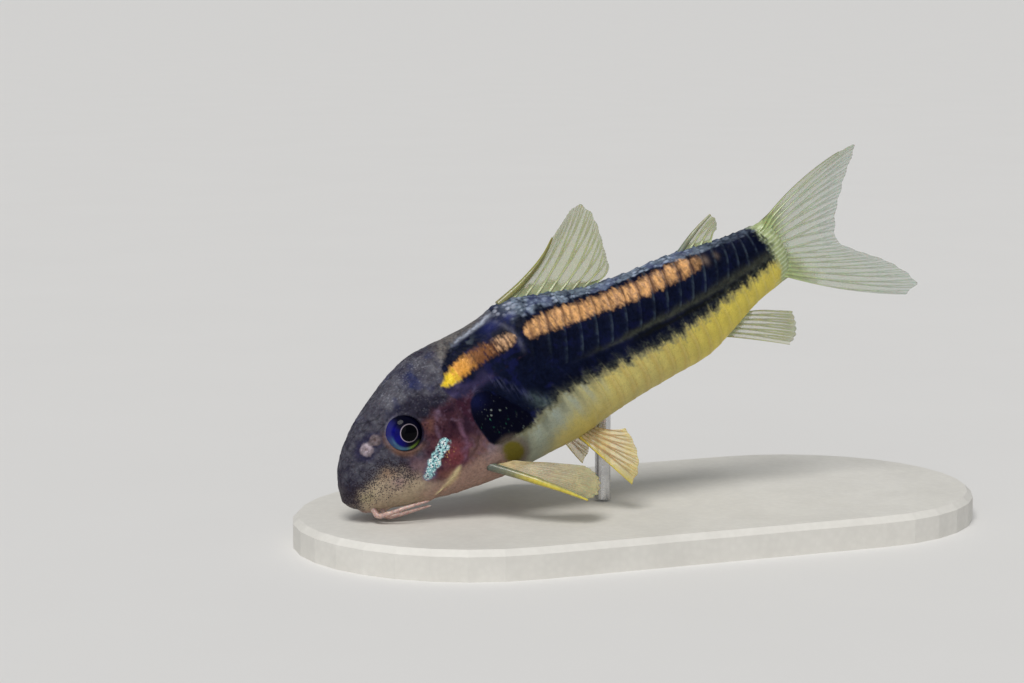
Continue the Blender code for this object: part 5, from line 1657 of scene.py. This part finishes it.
ANAL_FIN = dict(GREEN_FIN, front=(0.46, 0.46, 0.14), web=(0.42, 0.43, 0.18), cover=0.22)
PECTORAL_FIN = dict(
    YELLOW_FIN, web=(0.74, 0.64, 0.36), ray=(0.36, 0.29, 0.15), tip=(0.62, 0.60, 0.30),
    front=(0.26, 0.27, 0.13), cover=0.40,
)


# Bony spines: radii at the root, middle and tip, then colour of the root, tip and rear edge.
DORSAL_SPINE = ((0.38, 0.30, 0.10), (0.23, 0.22, 0.09), (0.46, 0.48, 0.05), (0.16, 0.15, 0.04))
ADIPOSE_SPINE = ((0.30, 0.24, 0.10), (0.16, 0.20, 0.18), (0.36, 0.36, 0.12), (0.3, 0.32, 0.2))
PECTORAL_SPINE = ((0.44, 0.36, 0.10), (0.10, 0.12, 0.10), (0.50, 0.46, 0.16), (0.70, 0.58, 0.05))


def fan_of_rays(root, tips, along, bow):
    """Rays from a root to their tips. root and bow are asked for each ray's share of the way across."""
    shares = [i / (len(tips) - 1) for i in range(len(tips))]
    return [ray(root(share), tip, along, bow(share)) for share, tip in zip(shares, tips)]


def on_midline(ends, edge, lift):
    """Places along the back (CREST) or the belly (BELLY), by share of the way between two ends."""
    def place(share):
        x = ends[0] + (ends[1] - ends[0]) * share
        return x, 0.0, body_value(x, edge) + lift
    return place


def make_middle_fins():
    """Dorsal, adipose, anal and tail fins. All but the adipose fin wave a little from side to side."""
    rays = fan_of_rays(
        on_midline(DORSAL_BASE, CREST, 0.15), spread(DORSAL_TIPS, 9), 9,
        lambda share: (0.60 - 0.25 * share, 0.25 * math.sin(5.0 * share), -0.35 * (1 - 0.5 * share)),
    )
    fin_sheet("fin_dorsal", "dorsal_fin", rays, GREEN_FIN)
    spine_tube("spine_dorsal", rays[0], 0.7, DORSAL_SPINE)
    root = on_midline(ADIPOSE_BASE, CREST, 0.1)
    rays = fan_of_rays(root, spread(ADIPOSE_TIPS, 4), 7, lambda share: (0.0, 0.0, 0.15))
    fin_sheet("fin_adipose", "adipose_fin", rays, GREEN_FIN, 0.2)
    spine_tube("spine_adipose", rays[0], 1.0, ADIPOSE_SPINE)
    root = on_midline(ANAL_BASE, BELLY, -0.05)
    rays = fan_of_rays(root, spread(ANAL_TIPS, 7), 8, lambda share: (-0.2, 0.2 * math.sin(4.0 * share), 0.25))
    fin_sheet("fin_anal", "anal_fin", rays, ANAL_FIN)

    def wave(share):
        return 0.55 * math.sin(3.2 * share + 0.5)

    def stem_end(share):
        (x0, z0), (x1, z1) = CAUDAL_ROOT
        return x0 + (x1 - x0) * share - 0.3, 0.0, z0 + (z1 - z0) * share

    tips = spread(CAUDAL_TIPS, 15)
    tips[:, 1] += [wave(i / 14) for i in range(15)]
    rays = fan_of_rays(
        stem_end, tips, 10, lambda share: (0.0, 0.25 * wave(share), -0.55 * (2.0 * share - 1.0)),
    )
    fin_sheet("fin_caudal", "caudal_fin", rays, TAIL_FIN, 0.13, 0.55)


def make_paired_fins(word, side):
    """The pectoral fin with its spine, and the pelvic fin, of one side."""
    flip = np.array([1.0, side, 1.0])
    (x0, z0), (x1, z1) = PECTORAL_ROOT
    (x2, y2), (x3, y3) = PELVIC_ROOT

    def shoulder(share):
        return flank_at(x0 + (x1 - x0) * share, z0 + (z1 - z0) * share, side, 0.25)

    def underside(share):
        return under_at(x2 + (x3 - x2) * share, side * (y2 + (y3 - y2) * share), 0.05)

    tips = bent_path(PECTORAL_TIPS, 9) * flip
    rays = fan_of_rays(shoulder, tips, 9, lambda share: (0.0, side * 0.5, 0.25))
    fin_sheet(f"fin_pectoral_{word}", f"pectoral_fin_{word}", rays, PECTORAL_FIN)
    spine_tube(f"spine_pectoral_{word}", rays[0], 0.6, PECTORAL_SPINE)
    tips = bent_path(PELVIC_TIPS, 6) * flip
    rays = fan_of_rays(underside, tips, 8, lambda share: (0.0, side * 0.35, -0.15))
    fin_sheet(f"fin_pelvic_{word}", f"pelvic_fin_{word}", rays, YELLOW_FIN, 0.18)


def make_barbels():
    """Two pairs of soft feelers that trail back from the corners of the mouth."""
    s = Shader("barbel_skin")
    s.feed(
        Base_Color=s.blend(
            s.ranged(s.noise(3000.0, 3.0), 0.35, 0.65, 0.0, 1.0), TINT["barbel_dark"], TINT["barbel_pale"],
        ),
    )
    s.feed(Roughness=s.ranged(s.noise(2000.0), 0.3, 0.7, 0.34, 0.50))
    s.feed(Normal=s.bump(s.cells(5200.0), 0.00006, 0.5))
    s.set(Coat_Weight=0.4, Coat_Roughness=0.2, Subsurface_Weight=0.2, Subsurface_Scale=0.0008)
    for word, side in SIDES:
        for kind, route in BARBELS.items():
            path = bent_path([side_point(x, math.radians(a), side, out) for x, a, out in route], 70)
            radii = np.linspace(0.30, 0.10, 70) * (1.0 + 0.05 * np.sin(np.arange(70) * 0.9))
            radii[-4:] *= np.array([0.95, 0.85, 0.65, 0.30])
            points, faces = tube_mesh(path, radii, 20)
            item = mesh_object(f"feeler_{kind[7:]}_{word}", to_world(points), faces)
            orient(item)
            item.data.materials.append(s.material)
            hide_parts(f"{kind}_{word}")


def redress(name, material):
    """Gives a kept solid its material."""
    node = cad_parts[name]
    node.data.materials.clear()
    node.data.materials.append(material)


def dress_stand():
    """Cast resin for the base and brushed steel for the rod."""
    s = Shader("base_resin")
    speck = s.ranged(s.cells(1400.0), 0.0, 0.7, 0.0, 1.0)
    cloudy = s.ranged(s.noise(120.0, 4.0), 0.35, 0.65, 0.0, 1.0)
    tone = s.blend(cloudy, TINT["resin"], TINT["resin_pale"])
    s.feed(Base_Color=s.blend(s.maths("MULTIPLY", speck, 0.12), tone, TINT["resin_speck"]))
    s.feed(Roughness=s.ranged(s.noise(500.0), 0.3, 0.7, 0.48, 0.62))
    s.feed(Normal=s.bump(s.noise(2500.0, 3.0), 0.00004, 0.4))
    redress("stand_base", s.material)
    s = Shader("rod_steel")
    s.feed(
        Base_Color=s.blend(
            s.ranged(s.noise(900.0, 3.0), 0.3, 0.7, 0.0, 1.0), TINT["rod"], TINT["rod_pale"],
        ),
    )
    s.feed(Roughness=s.ranged(s.noise(3000.0), 0.3, 0.7, 0.22, 0.36))
    s.set(Metallic=1.0)
    redress("stand_rod", s.material)


def make_stage():
    """A plain pale floor."""
    mesh = bpy.data.meshes.new("floor")
    size = 30.0
    mesh.from_pydata(
        [(-size, -size, 0), (size, -size, 0), (size, size, 0), (-size, size, 0)], [], [(0, 1, 2, 3)],
    )
    floor = bpy.data.objects.new("floor", mesh)
    bpy.context.scene.collection.objects.link(floor)
    s = Shader("floor_pale")
    s.feed(Base_Color=s.blend(s.ranged(s.noise(30.0), 0.3, 0.7, 0.0, 1.0), TINT["floor"], TINT["floor_pale"]))
    s.set(Roughness=0.8)
    mesh.materials.append(s.material)


def make_sun(name, direction, width, strength, colour):
    """A distant lamp that shines along direction. width is how soft it is, in degrees."""
    light = bpy.data.lights.new(name, "SUN")
    light.energy = strength
    light.angle = math.radians(width)
    light.color = colour
    item = bpy.data.objects.new(name, light)
    item.rotation_euler = Vector(direction).to_track_quat("-Z", "Y").to_euler()
    bpy.context.scene.collection.objects.link(item)


def make_lights():
    """A soft key from above the camera, a weaker fill, and an even pale surround."""
    make_sun("key", (0.35, 0.45, -1.0), 28.0, 2.1, (1.0, 0.985, 0.96))
    make_sun("fill", (0.55, 1.0, -0.45), 60.0, 0.55, (0.95, 0.97, 1.0))
    world = bpy.data.worlds.new("studio")
    world.use_nodes = True
    world.node_tree.nodes["Background"].inputs[0].default_value = TINT["studio"]
    world.node_tree.nodes["Background"].inputs[1].default_value = 0.34
    bpy.context.scene.world = world
    bpy.context.scene.view_settings.view_transform = "Standard"


CAMERA_AT = (-0.108486, -0.233263, 0.055317)
CAMERA_AZIMUTH = math.radians(-22.0)
CAMERA_ELEVATION = math.radians(8.0)
CAMERA_LENS = 89.505


def make_camera():
    """The camera, at the direction and distance that match the fish as it is seen."""
    camera = bpy.data.cameras.new("camera")
    camera.lens = CAMERA_LENS
    camera.sensor_width = 36.0
    camera.clip_start = 0.01
    item = bpy.data.objects.new("camera", camera)
    back = Vector((
        math.sin(CAMERA_AZIMUTH) * math.cos(CAMERA_ELEVATION),
        -math.cos(CAMERA_AZIMUTH) * math.cos(CAMERA_ELEVATION),
        math.sin(CAMERA_ELEVATION),
    ))
    right = Vector((0, 0, 1)).cross(back).normalized()
    up = back.cross(right)
    turn = Matrix((right, up, back)).transposed()
    item.matrix_world = Matrix.Translation(CAMERA_AT) @ turn.to_4x4()
    bpy.context.scene.collection.objects.link(item)
    bpy.context.scene.camera = item


make_camera()
FIN_MATERIAL = fin_material()
make_skin()
make_eyes()
make_middle_fins()
for word, side in SIDES:
    make_paired_fins(word, side)
make_barbels()
dress_stand()
make_stage()
make_lights()
